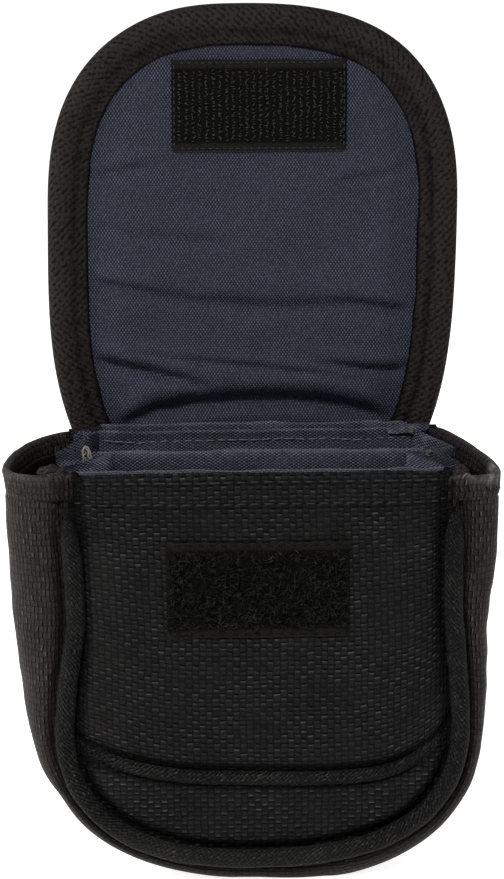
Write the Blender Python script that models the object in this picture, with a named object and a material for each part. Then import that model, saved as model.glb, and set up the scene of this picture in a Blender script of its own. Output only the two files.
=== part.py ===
"""Lens filter case: a soft belt pouch with a concertina of filter pockets and a fold-over flap.

Metres, +Z up, +X to the right, the front faces -Y. The pouch stands on the small flat under
its gusset, whose middle is the origin. The flap stands open, straight up from the back.
"""

import bmesh
import bpy
import math

# Sewn outline of the front and the back: straight sides and a rounded bottom
seam_half_width = 0.0500
corner_height = 0.0360
corner_power = 2.4
front_rim_height = 0.1120
body_depth = 0.0430

# Walls, from the outside in: fabric, foam, lining
fabric_thickness = 0.0009
foam_thickness = 0.0022
lining_thickness = 0.0007
clearance = 0.0003
foam_inset = 0.0030

# Piping in the front and back seams
piping_radius = 0.0018
piping_proud = 0.0012
front_piping_drop = 0.0113
piping_sides = 8

# Side gusset: it stands out past the seams, most at the rim and least at the bottom corners
gusset_thickness = 0.0012
gusset_lining_thickness = 0.0006
rim_bulge = 0.0150
bottom_bulge = 0.0100
base_flat_depth = 0.0020
gusset_rim_drop = 0.0004
gusset_rear_rise = 0.0024
bulge_shares = (1.0, 0.91, 0.88, 0.84, 0.79, 0.75, 0.69, 0.61, 0.56, 0.55, 0.55, 0.57, 0.61, 0.667)
rim_peak_share = 0.30
bottom_peak_share = 0.50
gusset_front_power = 3.0
rim_rear_power = 1.5
bottom_rear_power = 3.0

# Front panel: hem at the rim and an oval welt cord across the lower part
hem_height = 0.0060
welt_height_share = 0.2786
welt_rise = 0.0100
welt_rise_power = 3.0
welt_half_height = 0.0019
welt_half_depth = 0.0010
welt_end_margin = 0.0006

# Concertina: three dividers, joined to the walls and to each other by pleated strips
divider_count = 3
divider_thickness = 0.0009
divider_inset = 0.0085
divider_headroom = 0.0004
pleat_thickness = 0.0007
pleat_reach = 0.0065
pleat_rim_rise = 0.0010
pleat_tip_drop = 0.0010

# Flap: an arch that folds twice, at the top of the back and again above the front
fold_rise = 0.0092
flap_tip_rise = 0.1150
flap_overhang = 0.0038
flap_arch_height = 0.0547
flap_arch_power = 2.55
flap_narrowing = 0.0070
flap_narrowing_power = 3.5
closed_slope = math.radians(6)
fold_setback_share = 1.27
binding_setback_share = 1.25

# Binding tape round the flap's edge: a puffy outer band and a flat inner strip
binding_width = 0.0105
binding_band_width = 0.0070
binding_thickness = 0.0006
binding_puff = 0.0012
binding_edge_half = 0.0014

# Hook and loop tapes
tape_width = 0.0466
tape_height = 0.0250
tape_selvedge = 0.0030
tape_backing_share = 0.45
loop_tape_thickness = 0.0016
hook_tape_thickness = 0.0013
loop_tape_drop = 0.0178
hook_tape_tip_margin = 0.0140
tape_gap = 0.0004

# Belt loop on the back: a webbing strap sewn down at both ends
strap_width = 0.0380
strap_thickness = 0.0014
strap_slot_depth = 0.0050
strap_tab_height = 0.0100
strap_ramp_height = 0.0060
strap_slot_height = 0.0420
strap_bottom_height = 0.0260

# Mesh steps
side_steps = 5
corner_steps = 16
gusset_steps = 9
flap_side_steps = 4
flap_arch_steps = 9
roll_sides = 16
welt_steps = 12
cutter_overrun = 0.0100

# Colours of the finishes, linear RGB, with their roughness
black_nylon = (0.013, 0.012, 0.012), 0.62
black_tape = (0.010, 0.010, 0.010), 0.80
black_binding = (0.014, 0.013, 0.012), 0.70
black_hook = (0.008, 0.008, 0.008), 0.45
black_lining = (0.006, 0.006, 0.006), 0.75
grey_lining = (0.034, 0.036, 0.049), 0.66
dark_foam = (0.020, 0.020, 0.021), 0.95

# Worked-out places
seam_bottom = bottom_bulge - base_flat_depth
corner_z = seam_bottom + corner_height
front_face = -body_depth / 2
back_face = body_depth / 2
wall_thickness = fabric_thickness + foam_thickness + lining_thickness + 2 * clearance
panel_inset = piping_radius + clearance
foam_offset = fabric_thickness + clearance
lining_offset = foam_offset + foam_thickness + clearance
front_piping_y = front_face + piping_radius - piping_proud
back_piping_y = back_face - piping_radius + piping_proud
gusset_front = front_piping_y + piping_radius + clearance
gusset_back = back_piping_y - piping_radius - clearance
gusset_front_rim = front_rim_height - gusset_rim_drop
gusset_back_rim = gusset_front_rim + gusset_rear_rise
pocket_front = front_face + wall_thickness
pocket_back = back_face - wall_thickness
pocket_depth = (pocket_back - pocket_front - divider_count * divider_thickness) / (divider_count + 1)

fold_y = back_face - wall_thickness / 2
fold_z = front_rim_height + fold_rise
fold_setback = fold_setback_share * wall_thickness / 2
closed_cover_y = front_face - (loop_tape_thickness + hook_tape_thickness + tape_gap + 2 * clearance
                               + wall_thickness / 2)
bridge_length = (fold_y - closed_cover_y) / math.cos(closed_slope)
front_fold_z = fold_z + bridge_length
flap_half_width = seam_half_width + flap_overhang
flap_tip_z = front_rim_height + flap_tip_rise
flap_arch_z = flap_tip_z - flap_arch_height
binding_half_depth = wall_thickness / 2 + clearance + binding_thickness + binding_puff / 2
binding_setback = binding_setback_share * binding_half_depth
binding_floor = binding_thickness + clearance


def clear_scene():
    for item in list(bpy.data.objects):
        bpy.data.objects.remove(item)


def make_material(name, finish):
    colour, roughness = finish
    material = bpy.data.materials.new(name)
    material.use_nodes = True
    shader = material.node_tree.nodes["Principled BSDF"]
    shader.inputs["Base Color"].default_value = (*colour, 1)
    shader.inputs["Roughness"].default_value = roughness
    shader.inputs["Metallic"].default_value = 0
    return material


def make_object(name, bm, finish, place=(0, 0, 0), parent=None):
    """Turn a bmesh in world coordinates into an object whose origin is at place."""
    bmesh.ops.recalc_face_normals(bm, faces=bm.faces)
    bmesh.ops.translate(bm, verts=bm.verts, vec=[-value for value in place])
    mesh = bpy.data.meshes.new(name)
    bm.to_mesh(mesh)
    bm.free()
    mesh.shade_smooth()
    mesh.set_sharp_from_angle(angle=math.radians(35))
    mesh.materials.append(make_material(name, finish))
    made = bpy.data.objects.new(name, mesh)
    bpy.context.scene.collection.objects.link(made)
    if parent is None:
        made.location = place
    else:
        made.parent = parent
    return made


def make_axis(name, place, parent=None):
    """An empty on a fold's axis, which the pieces beyond the fold hang on."""
    axis = bpy.data.objects.new(name, None)
    bpy.context.scene.collection.objects.link(axis)
    axis.parent = parent
    axis.location = place
    return axis


def hide_cutter(cutter):
    cutter.hide_render = True
    cutter.display_type = "WIRE"


def boolean(target, cutter, operation):
    hide_cutter(cutter)
    modifier = target.modifiers.new(operation.lower(), "BOOLEAN")
    modifier.object = cutter
    modifier.operation = operation
    modifier.solver = "EXACT"


def spread(low, high, steps):
    return [low + (high - low) * step / steps for step in range(steps + 1)]


def mix(low, high, share):
    return low + (high - low) * share


def prism(outline, low, high):
    """Close an outline of (x, z) points into a plate between two depths."""
    bm = bmesh.new()
    face = bm.faces.new([bm.verts.new((x, low, z)) for x, z in outline])
    grown = bmesh.ops.extrude_face_region(bm, geom=[face])
    moved = [item for item in grown["geom"] if isinstance(item, bmesh.types.BMVert)]
    bmesh.ops.translate(bm, verts=moved, vec=(0, high - low, 0))
    return bm


def bar(profile, half_width):
    """Close a profile of (y, z) points into a bar that runs across the case."""
    bm = bmesh.new()
    face = bm.faces.new([bm.verts.new((-half_width, y, z)) for y, z in profile])
    grown = bmesh.ops.extrude_face_region(bm, geom=[face])
    moved = [item for item in grown["geom"] if isinstance(item, bmesh.types.BMVert)]
    bmesh.ops.translate(bm, verts=moved, vec=(2 * half_width, 0, 0))
    return bm


def loft(rings, turn=None):
    """Join closed rings of points, one after the other, and cap both ends.

    Rings that go out along one side of a layer and turn back along its other side, after that
    many points, are joined in triangles that match on both sides.
    """
    bm = bmesh.new()
    loops = [[bm.verts.new(point) for point in ring] for ring in rings]
    count = len(rings[0])
    for near, far in zip(loops, loops[1:]):
        for index in range(count):
            after = (index + 1) % count
            corners = (near[index], near[after], far[after], far[index])
            if turn is None:
                bm.faces.new(corners)
                continue
            if index >= turn:
                corners = corners[1:] + corners[:1]
            bm.faces.new(corners[:3])
            bm.faces.new((corners[2], corners[3], corners[0]))
    bm.faces.new(loops[0])
    bm.faces.new(loops[-1])
    return bm


def seam_station(index, outward, top):
    """A point of the sewn outline, moved outward, counted from the left rim to the right rim."""
    last = 2 * side_steps + corner_steps
    if index < side_steps:
        share = 1 - index / side_steps
        return -seam_half_width - outward, mix(corner_z, top, share)
    if index > last - side_steps:
        share = 1 - (last - index) / side_steps
        return seam_half_width + outward, mix(corner_z, top, share)
    angle = math.pi * (index - side_steps) / corner_steps
    across = abs(math.cos(angle)) ** (2 / corner_power)
    down = abs(math.sin(angle)) ** (2 / corner_power)
    side = -1 if index < last / 2 else 1
    slope_x = across ** (corner_power - 1) / seam_half_width
    slope_z = down ** (corner_power - 1) / corner_height
    length = math.hypot(slope_x, slope_z)
    x = seam_half_width * across + outward * slope_x / length
    z = corner_height * down + outward * slope_z / length
    return side * x, corner_z - z


def seam_stations():
    return range(2 * side_steps + corner_steps + 1)


def panel_outline(inset, top):
    return [seam_station(index, -inset, top) for index in seam_stations()]


def half_width_inside(inset, height):
    """Half the width of the sewn outline's inside at a height."""
    if height >= corner_z:
        return seam_half_width - inset
    share = min(1, (corner_z - height) / (corner_height - inset))
    return (seam_half_width - inset) * (1 - share ** corner_power) ** (1 / corner_power)


def sweep_seam(profile_at, turn=None):
    """Loft a profile of (outward, depth, top, lift) points along the sewn outline."""
    rings = []
    for index in seam_stations():
        ring = []
        for outward, depth, top, lift in profile_at(index):
            x, z = seam_station(index, outward, top)
            ring.append((x, depth, z + lift))
        rings.append(ring)
    return loft(rings, turn)


def bottom_share(index):
    """How far round the outline a station is: 0 at a rim, 1 at the middle of the bottom."""
    return 1 - abs(2 * index / (2 * side_steps + corner_steps) - 1)


def table_value(table, share):
    place = share * (len(table) - 1)
    low = min(int(place), len(table) - 2)
    return mix(table[low], table[low + 1], place - low)


def gusset_line(index, inward):
    """The gusset's section at a station, moved inward by its layers, for sweep_seam."""
    share = bottom_share(index)
    bulge = rim_bulge * table_value(bulge_shares, share)
    peak = mix(rim_peak_share, bottom_peak_share, share)
    rear_power = mix(rim_rear_power, bottom_rear_power, share)
    line = []
    for step in range(gusset_steps + 1):
        angle = math.pi * step / gusset_steps
        along = -math.cos(angle)
        power = gusset_front_power if along < 0 else rear_power
        reach = abs(along) ** (2 / power)
        height = abs(math.sin(angle)) ** (2 / power)
        depth_share = peak * (1 - reach) if along < 0 else mix(peak, 1, reach)
        depth = mix(gusset_front, gusset_back, depth_share)
        top = mix(gusset_front_rim, gusset_back_rim, depth_share)
        lift = max(0, -seam_station(index, bulge * height, top)[1])
        line.append((bulge * height, depth, top, lift))
    return offset_line(line, inward)


def offset_line(line, inward):
    """Move a section inward, with the lift that flattens the base under it."""
    moved = []
    for place, point in enumerate(line):
        before = line[max(place - 1, 0)]
        after = line[min(place + 1, len(line) - 1)]
        rise = after[0] - before[0]
        run = after[1] - before[1]
        if place in (0, len(line) - 1):
            moved.append((point[0] - inward, *point[1:]))
            continue
        length = math.hypot(rise, run)
        shift = rise / length * inward
        moved.append((point[0] - inward * run / length, point[1] + shift, *point[2:]))
    return moved


def gusset_profile(index):
    outer = gusset_line(index, 0)
    inner = gusset_line(index, gusset_thickness)
    return outer + inner[::-1]


def gusset_lining_profile(index):
    outer = gusset_line(index, gusset_thickness + clearance)
    inner = gusset_line(index, gusset_thickness + clearance + gusset_lining_thickness)
    return outer + inner[::-1]


def make_gusset():
    turn = gusset_steps + 1
    make_object("gusset", sweep_seam(gusset_profile, turn), black_nylon)
    make_object("gusset_lining", sweep_seam(gusset_lining_profile, turn), black_lining)


def make_piping(name, depth, top):
    def profile(index):
        ring = []
        for step in range(piping_sides):
            angle = 2 * math.pi * step / piping_sides
            outward = piping_radius * math.cos(angle)
            ring.append((outward, depth + piping_radius * math.sin(angle), top, 0))
        return ring
    make_object(name, sweep_seam(profile), black_nylon)


def make_plate(name, low, thickness, outline, finish):
    return make_object(name, prism(outline, low, low + thickness), finish, (0, low, 0))


def welt_z(x):
    return welt_height_share * front_rim_height + welt_rise * (abs(x) / seam_half_width) ** welt_rise_power


def welt_cutter(name, side):
    """A block whose curved edge follows the welt, on its upper or lower side."""
    reach = seam_half_width + cutter_overrun
    edge = [(x, welt_z(x) + side * (welt_half_height + clearance)) for x in spread(-reach, reach, welt_steps)]
    far_z = front_rim_height + cutter_overrun if side < 0 else -cutter_overrun
    outline = edge + [(reach, far_z), (-reach, far_z)]
    low = front_face - cutter_overrun
    return make_object(name, prism(outline, low, back_face), black_nylon)


def make_front_panels():
    outline = panel_outline(panel_inset, front_rim_height)
    upper = make_plate("front_panel_upper", front_face, fabric_thickness, outline, black_nylon)
    inner = front_face + lining_offset - clearance
    outer = front_face
    bottom = front_rim_height - hem_height
    fold_top = front_rim_height - fabric_thickness
    hem = [(outer, bottom), (outer, front_rim_height), (inner, front_rim_height), (inner, bottom)]
    hem += [(inner - fabric_thickness, bottom), (inner - fabric_thickness, fold_top)]
    hem += [(outer + fabric_thickness, fold_top), (outer + fabric_thickness, bottom)]
    half_width = seam_half_width - foam_inset
    boolean(upper, make_object("hem_strip", bar(hem, half_width), black_nylon), "UNION")
    boolean(upper, welt_cutter("below_welt", 1), "DIFFERENCE")
    lower = make_plate("front_panel_lower", front_face, fabric_thickness, outline, black_nylon)
    boolean(lower, welt_cutter("above_welt", -1), "DIFFERENCE")


def make_welt():
    depth = front_face + fabric_thickness - welt_half_depth
    side_z = welt_z(seam_half_width)
    reach = half_width_inside(panel_inset, side_z - welt_rise / 2) - welt_end_margin
    rings = []
    for x in spread(-reach, reach, welt_steps):
        ring = []
        for step in range(piping_sides):
            angle = 2 * math.pi * step / piping_sides
            y = depth + welt_half_depth * math.cos(angle)
            ring.append((x, y, welt_z(x) + welt_half_height * math.sin(angle)))
        rings.append(ring)
    make_object("front_welt", loft(rings), black_nylon)


def make_front_inside():
    foam_top = front_rim_height - hem_height - clearance
    foam_low = front_face + foam_offset
    lining_low = front_face + lining_offset
    make_plate("front_foam", foam_low, foam_thickness, panel_outline(foam_inset, foam_top), dark_foam)
    lining = panel_outline(foam_inset, front_rim_height)
    make_plate("front_lining", lining_low, lining_thickness, lining, grey_lining)


def back_outline(inset):
    """The back's outline: above the gusset it widens to meet the flap."""
    top = fold_z - fold_setback
    shoulder = gusset_back_rim + clearance
    rim_z = mix(shoulder, top, 1 / 2)
    half_width = flap_half_at(rim_z)
    body = panel_outline(inset, shoulder)
    left = [(-half_width, top), (-half_width, shoulder)]
    right = [(half_width, shoulder), (half_width, top)]
    return left + body + right


def make_back():
    foam_low = back_face - foam_offset - foam_thickness
    lining_low = back_face - lining_offset - lining_thickness
    fabric_low = back_face - fabric_thickness
    make_plate("back_panel", fabric_low, fabric_thickness, back_outline(panel_inset), black_nylon)
    make_plate("back_foam", foam_low, foam_thickness, back_outline(foam_inset), dark_foam)
    make_plate("back_lining", lining_low, lining_thickness, back_outline(foam_inset), grey_lining)


def bridge_underside(depth):
    """Height of the closed flap's underside over a depth inside the pouch."""
    mid_plane = fold_z - math.tan(closed_slope) * (fold_y - depth)
    return mid_plane - wall_thickness / 2 / math.cos(closed_slope)


def divider_depth(number):
    return pocket_front + number * (pocket_depth + divider_thickness) + pocket_depth


def make_dividers():
    for number, name in enumerate(("divider_front", "divider_middle", "divider_rear")):
        low = divider_depth(number)
        top = bridge_underside(low) - divider_headroom
        make_plate(name, low, divider_thickness, panel_outline(divider_inset, top), grey_lining)


def make_pleat(name, low, high):
    """A strip folded in a V whose fold points outward, sewn round one pocket."""
    root = clearance - divider_inset
    tip = root + pleat_reach
    root_top = front_rim_height + pleat_rim_rise
    tip_top = front_rim_height - pleat_tip_drop
    middle = (low + high) / 2
    half = pleat_thickness / 2
    profile = [(root, low, root_top, 0), (tip, middle - half, tip_top, 0), (tip, middle + half, tip_top, 0)]
    profile += [(root, high, root_top, 0), (root, high - pleat_thickness, root_top, 0)]
    profile += [(tip - 2 * pleat_thickness, middle, tip_top, 0), (root, low + pleat_thickness, root_top, 0)]
    make_object(name, sweep_seam(lambda index: profile), grey_lining)


def make_pleats():
    names = ("pleat_front", "pleat_mid_front", "pleat_mid_rear", "pleat_rear")
    edges = [pocket_front + clearance]
    for number in range(divider_count):
        middle = divider_depth(number) + divider_thickness / 2
        edges += [middle - clearance / 2, middle + clearance / 2]
    edges.append(pocket_back - clearance)
    for name, low, high in zip(names, edges[::2], edges[1::2]):
        make_pleat(name, low, high)


def flap_half_at(height):
    """Half the flap's width at a height."""
    if height <= flap_arch_z:
        share = (flap_arch_z - height) / (flap_arch_z - front_rim_height)
        return flap_half_width - flap_narrowing * share ** flap_narrowing_power
    share = min(1, (height - flap_arch_z) / flap_arch_height)
    return flap_half_width * (1 - share ** flap_arch_power) ** (1 / flap_arch_power)


def flap_side(low, high):
    """Points and outward directions up one straight stretch of the flap's right edge."""
    return [(flap_half_at(z), z, 1, 0) for z in spread(low, high, flap_side_steps)]


def flap_arch(low):
    """Points and outward directions from the right edge over the tip to the left edge."""
    start = max(0, low - flap_arch_z) / flap_arch_height
    first = math.asin(start ** (flap_arch_power / 2))
    right = []
    for angle in spread(first, math.pi / 2, flap_arch_steps):
        across = abs(math.cos(angle)) ** (2 / flap_arch_power)
        up = abs(math.sin(angle)) ** (2 / flap_arch_power)
        slope_x = across ** (flap_arch_power - 1) / flap_half_width
        slope_z = up ** (flap_arch_power - 1) / flap_arch_height
        length = math.hypot(slope_x, slope_z)
        right.append((flap_half_width * across, flap_arch_z + flap_arch_height * up,
                      slope_x / length, slope_z / length))
    if low < flap_arch_z:
        right = flap_side(low, flap_arch_z)[:-1] + right
    left = [(-x, z, -slope_x, slope_z) for x, z, slope_x, slope_z in right[-2::-1]]
    return right + left


def binding_profile():
    """Section of the binding: (distance in from the edge, depth from the flap's middle)."""
    slot = wall_thickness / 2 + clearance
    flat = slot + binding_thickness
    crease = binding_width - binding_band_width
    band = binding_width - crease
    rise = binding_half_depth
    half = [(0, binding_edge_half), (binding_band_width / 8, mix(binding_edge_half, rise, 0.75))]
    half += [(binding_band_width / 3, rise), (band - binding_band_width / 6, mix(flat, rise, 0.7))]
    half += [(band, flat), (binding_width, flat)]
    mirrored = [(inward, -depth) for inward, depth in half]
    outer = mirrored[::-1] + half
    inner = [(binding_width, slot), (binding_floor, slot), (binding_floor, -slot), (binding_width, -slot)]
    return outer + inner


def make_binding(name, edge, parent, axis):
    rings = []
    for x, z, slope_x, slope_z in edge:
        ring = []
        for inward, depth in binding_profile():
            ring.append((x - inward * slope_x, fold_y + depth, z - inward * slope_z))
        rings.append(ring)
    make_object(name, loft(rings), black_binding, axis, parent)


def make_flap_layers(prefix, outline, parent, axis):
    depth = fold_y - wall_thickness / 2
    layers = (("lining", lining_thickness, grey_lining), ("foam", foam_thickness, dark_foam),
              ("outer", fabric_thickness, black_nylon))
    for layer, thickness, finish in layers:
        bm = prism(outline, depth, depth + thickness)
        make_object(prefix + "_" + layer, bm, finish, axis, parent)
        depth += thickness + clearance


def make_fold(name, half_width, height, parent=None):
    """The rolled fabric of a fold, turned round the fold's axis."""
    radius = fold_setback - clearance
    rings = []
    for x in (-half_width, half_width):
        ring = []
        for step in range(roll_sides):
            angle = 2 * math.pi * step / roll_sides
            ring.append((x, fold_y + radius * math.cos(angle), height + radius * math.sin(angle)))
        rings.append(ring)
    make_object(name, loft(rings), black_nylon, (0, fold_y, height), parent)


def make_bridge(parent):
    axis = (0, fold_y, fold_z)
    low = fold_z + fold_setback
    high = front_fold_z - fold_setback
    right = [(x - binding_floor - clearance, z) for x, z, _, _ in flap_side(low, high)]
    left = [(-x, z) for x, z in right[::-1]]
    make_flap_layers("flap_bridge", right + left, parent, axis)
    edge = flap_side(fold_z + binding_setback, front_fold_z - binding_setback)
    mirrored = [(-x, z, -slope_x, slope_z) for x, z, slope_x, slope_z in edge]
    make_binding("flap_bridge_binding_right", edge, parent, axis)
    make_binding("flap_bridge_binding_left", mirrored, parent, axis)
    make_fold("rear_fold", flap_half_at(fold_z), fold_z)


def make_cover(hinge):
    axis = (0, fold_y, front_fold_z)
    inset = binding_floor + clearance
    edge = flap_arch(front_fold_z + fold_setback)
    outline = [(x - inset * slope_x, z - inset * slope_z) for x, z, slope_x, slope_z in edge]
    make_flap_layers("flap_cover", outline, hinge, axis)
    make_binding("flap_cover_binding", flap_arch(front_fold_z + binding_setback), hinge, axis)
    make_fold("front_fold", flap_half_at(front_fold_z), front_fold_z, hinge)
    top = flap_tip_z - hook_tape_tip_margin
    face = fold_y - wall_thickness / 2 - clearance
    make_tape("hook_tape", face, -hook_tape_thickness, top, black_hook, axis, hinge)


def make_tape(name, back, reach, top, finish, place=(0, 0, 0), parent=None):
    """A tape with thin selvedges and a raised field of hooks or loops between them."""
    bottom = top - tape_height
    edge = back + reach * tape_backing_share
    face = back + reach
    profile = [(back, bottom), (edge, bottom), (edge, bottom + tape_selvedge), (face, bottom + tape_selvedge)]
    profile += [(face, top - tape_selvedge), (edge, top - tape_selvedge), (edge, top), (back, top)]
    make_object(name, bar(profile, tape_width / 2), finish, place, parent)


def make_belt_loop():
    sewn = back_face + clearance
    out = sewn + strap_slot_depth
    heights = [strap_bottom_height]
    for step in (strap_tab_height, strap_ramp_height, strap_slot_height, strap_ramp_height, strap_tab_height):
        heights.append(heights[-1] + step)
    inner = list(zip((sewn, sewn, out, out, sewn, sewn), heights))
    outer = [(y + strap_thickness, z) for y, z in inner]
    make_object("belt_loop", bar(inner + outer[::-1], strap_width / 2), black_tape)


def main():
    clear_scene()
    make_front_panels()
    make_welt()
    make_front_inside()
    make_piping("front_piping", front_piping_y, front_rim_height - front_piping_drop)
    make_piping("back_piping", back_piping_y, gusset_back_rim)
    make_gusset()
    make_dividers()
    make_pleats()
    make_back()
    make_belt_loop()
    make_tape("loop_tape", front_face - clearance, -loop_tape_thickness,
              front_rim_height - loop_tape_drop, black_tape)
    rear_axis = make_axis("rear_fold_axis", (0, fold_y, fold_z))
    front_axis = make_axis("front_fold_axis", (0, 0, bridge_length), rear_axis)
    make_bridge(rear_axis)
    make_cover(front_axis)
    bpy.context.view_layer.update()


main()
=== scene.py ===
"""Looks of the lens filter case: its sewn panels, concertina, flap, tapes and threads.

Metres, +Z up, the front faces -Y. Sizes repeated from the part's source come first.
"""

import bmesh
import bpy
import math
import random
from functools import partial
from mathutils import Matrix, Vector, noise


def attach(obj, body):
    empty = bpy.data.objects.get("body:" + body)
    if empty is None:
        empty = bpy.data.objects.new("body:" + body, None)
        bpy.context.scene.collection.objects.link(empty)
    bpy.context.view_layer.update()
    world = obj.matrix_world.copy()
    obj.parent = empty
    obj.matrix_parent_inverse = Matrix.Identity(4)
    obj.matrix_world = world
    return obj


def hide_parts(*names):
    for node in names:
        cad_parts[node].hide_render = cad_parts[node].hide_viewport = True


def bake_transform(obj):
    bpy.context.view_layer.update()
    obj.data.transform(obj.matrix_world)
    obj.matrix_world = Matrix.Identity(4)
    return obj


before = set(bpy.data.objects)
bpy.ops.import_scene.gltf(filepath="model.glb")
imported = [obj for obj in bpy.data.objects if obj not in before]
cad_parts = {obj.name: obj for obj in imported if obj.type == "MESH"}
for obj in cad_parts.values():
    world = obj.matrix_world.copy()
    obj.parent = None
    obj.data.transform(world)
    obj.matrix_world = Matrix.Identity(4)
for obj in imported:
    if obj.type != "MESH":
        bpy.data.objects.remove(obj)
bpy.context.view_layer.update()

# Sewn outline of the front and the back
seam_half_width = 0.0500
seam_bottom = 0.0080
front_rim_height = 0.1120
corner_height = 0.0360
corner_power = 2.4

# Thickness of the outer fabric and of the thin ones
outer_thickness = 0.0009
thin_thickness = 0.0005

# Walls
front_face = -0.0215
back_face = 0.0215
panel_inset = 0.0021
piping_radius = 0.0018
cord_radius = 0.0025
front_piping_y = -0.0209
back_piping_y = 0.0209
front_piping_top = 0.1007
back_piping_top = 0.1108

# Gusset
gusset_front = -0.0188
gusset_back = 0.0188
gusset_front_rim = 0.1116
gusset_back_rim = 0.1140
rim_bulge = 0.0150
# The left side is puffed out more than the right one, and the right rim sags toward the front
bulge_shares = {
    -1: (1.09, 1.03, 1.00, 0.96, 0.91, 0.856, 0.754, 0.62, 0.54, 0.56, 0.58, 0.61, 0.65, 0.667),
    1: (0.80, 0.765, 0.74, 0.735, 0.69, 0.655, 0.64, 0.63, 0.68, 0.73, 0.76, 0.78, 0.73, 0.667),
}
gusset_front_power = 3.0
# Height, then how far the front seam wanders outward there on the left and on the right
seam_sway = (
    (0.0080, 0.0009, 0.0009), (0.0140, 0.0010, 0.0016), (0.0220, 0.0010, 0.0022), (0.0300, 0.0011, 0.0024),
    (0.0406, 0.0014, 0.0024), (0.0460, 0.0014, 0.0024), (0.0514, 0.0010, 0.0021), (0.0568, 0.0005, 0.0017),
    (0.0622, -0.0003, 0.0012), (0.0677, -0.0012, 0.0007), (0.0730, -0.0018, 0.0002),
    (0.0785, -0.0016, 0.0), (0.0893, -0.0011, 0.0), (0.0947, -0.0006, 0.0),
    (0.1030, 0.0, 0.0), (0.1300, 0.0, 0.0),
)
rim_peak_shares = {-1: 0.28, 1: 0.13}
bottom_peak_share = 0.50
rim_rear_powers = {-1: 1.5, 1: 1.35}
bottom_rear_power = 3.0
rim_sags = {-1: 0.0000, 1: 0.0014}

# Front
welt_middle_height = 0.0302
# How far the welt rises from its middle to the side seam and how suddenly, on the left and on the right
welt_rises = {-1: (0.0100, 2.5), 1: (0.0135, 5.2)}
loop_tape_low, loop_tape_high = 0.0690, 0.0944
hook_tape_low, hook_tape_high = 0.1892, 0.2127
loop_tape_left, loop_tape_right = -0.0244, 0.0226
hook_tape_left, hook_tape_right = -0.0214, 0.0241
tape_selvedge = 0.0026
tape_thickness = 0.0007

# Flap and its folds
fold_y = 0.0193
split_z = 0.1448
flap_tip_z = 0.2270
flap_arch_z = 0.1723
flap_arch_height = 0.0547
flap_arch_power = 2.55
flap_half_width = 0.0538
flap_narrowing = 0.0070
flap_narrowing_power = 3.5
flap_root_z = 0.1060
binding_root_z = 0.1105
binding_width = 0.0105
binding_band_width = 0.0068

# Belt loop
strap_width = 0.0380
strap_thickness = 0.0014
strap_heights = (0.0260, 0.0360, 0.0420, 0.0840, 0.0900, 0.1000)
strap_slot_depth = 0.0050


# Small tools

def mix(low, high, share):
    return low + (high - low) * share


def ease(low, high, value):
    share = min(1, max(0, (value - low) / (high - low)))
    return share * share * (3 - 2 * share)


def hump(value, width):
    return math.exp(-(value / width) ** 2)


def drift(x, y, z, size, seed):
    """Smooth random wandering from -1 to 1 over a size."""
    return noise.noise(Vector((x / size + seed * 7.1, y / size - seed * 3.7, z / size + seed * 1.9)))


def table_value(table, share):
    place = share * (len(table) - 1)
    low = min(int(place), len(table) - 2)
    return mix(table[low], table[low + 1], place - low)


def spread(low, high, steps):
    return [mix(low, high, step / steps) for step in range(steps + 1)]


def between(near, far, shares):
    """Places of two numbers, at shares of the way from one to another."""
    return [(mix(near[0], far[0], share), mix(near[1], far[1], share)) for share in shares]


def link(obj):
    bpy.context.scene.collection.objects.link(obj)
    return obj


def plain_mesh(obj):
    """Replace a piece's mesh with its finished one and drop the modifiers."""
    graph = bpy.context.evaluated_depsgraph_get()
    finished = obj.evaluated_get(graph)
    mesh = bpy.data.meshes.new_from_object(finished, preserve_all_data_layers=True, depsgraph=graph)
    mesh.name = obj.name
    obj.modifiers.clear()
    obj.data = mesh
    return obj


def cloth_lengths(rows, wrap=False):
    """Metres along and across the cloth at every point of a grid."""
    across = []
    for row in rows:
        line = [0]
        points = list(row) + ([row[0]] if wrap else [])
        for near, far in zip(points, points[1:]):
            line.append(line[-1] + (Vector(far) - Vector(near)).length)
        half = line[-1] / 2
        across.append([value - half for value in line])
    middle = len(rows[0]) // 2
    along = [0]
    for near, far in zip(rows, rows[1:]):
        along.append(along[-1] + (Vector(far[middle]) - Vector(near[middle])).length)
    return [[(value, along[index]) for value in line] for index, line in enumerate(across)]


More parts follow.
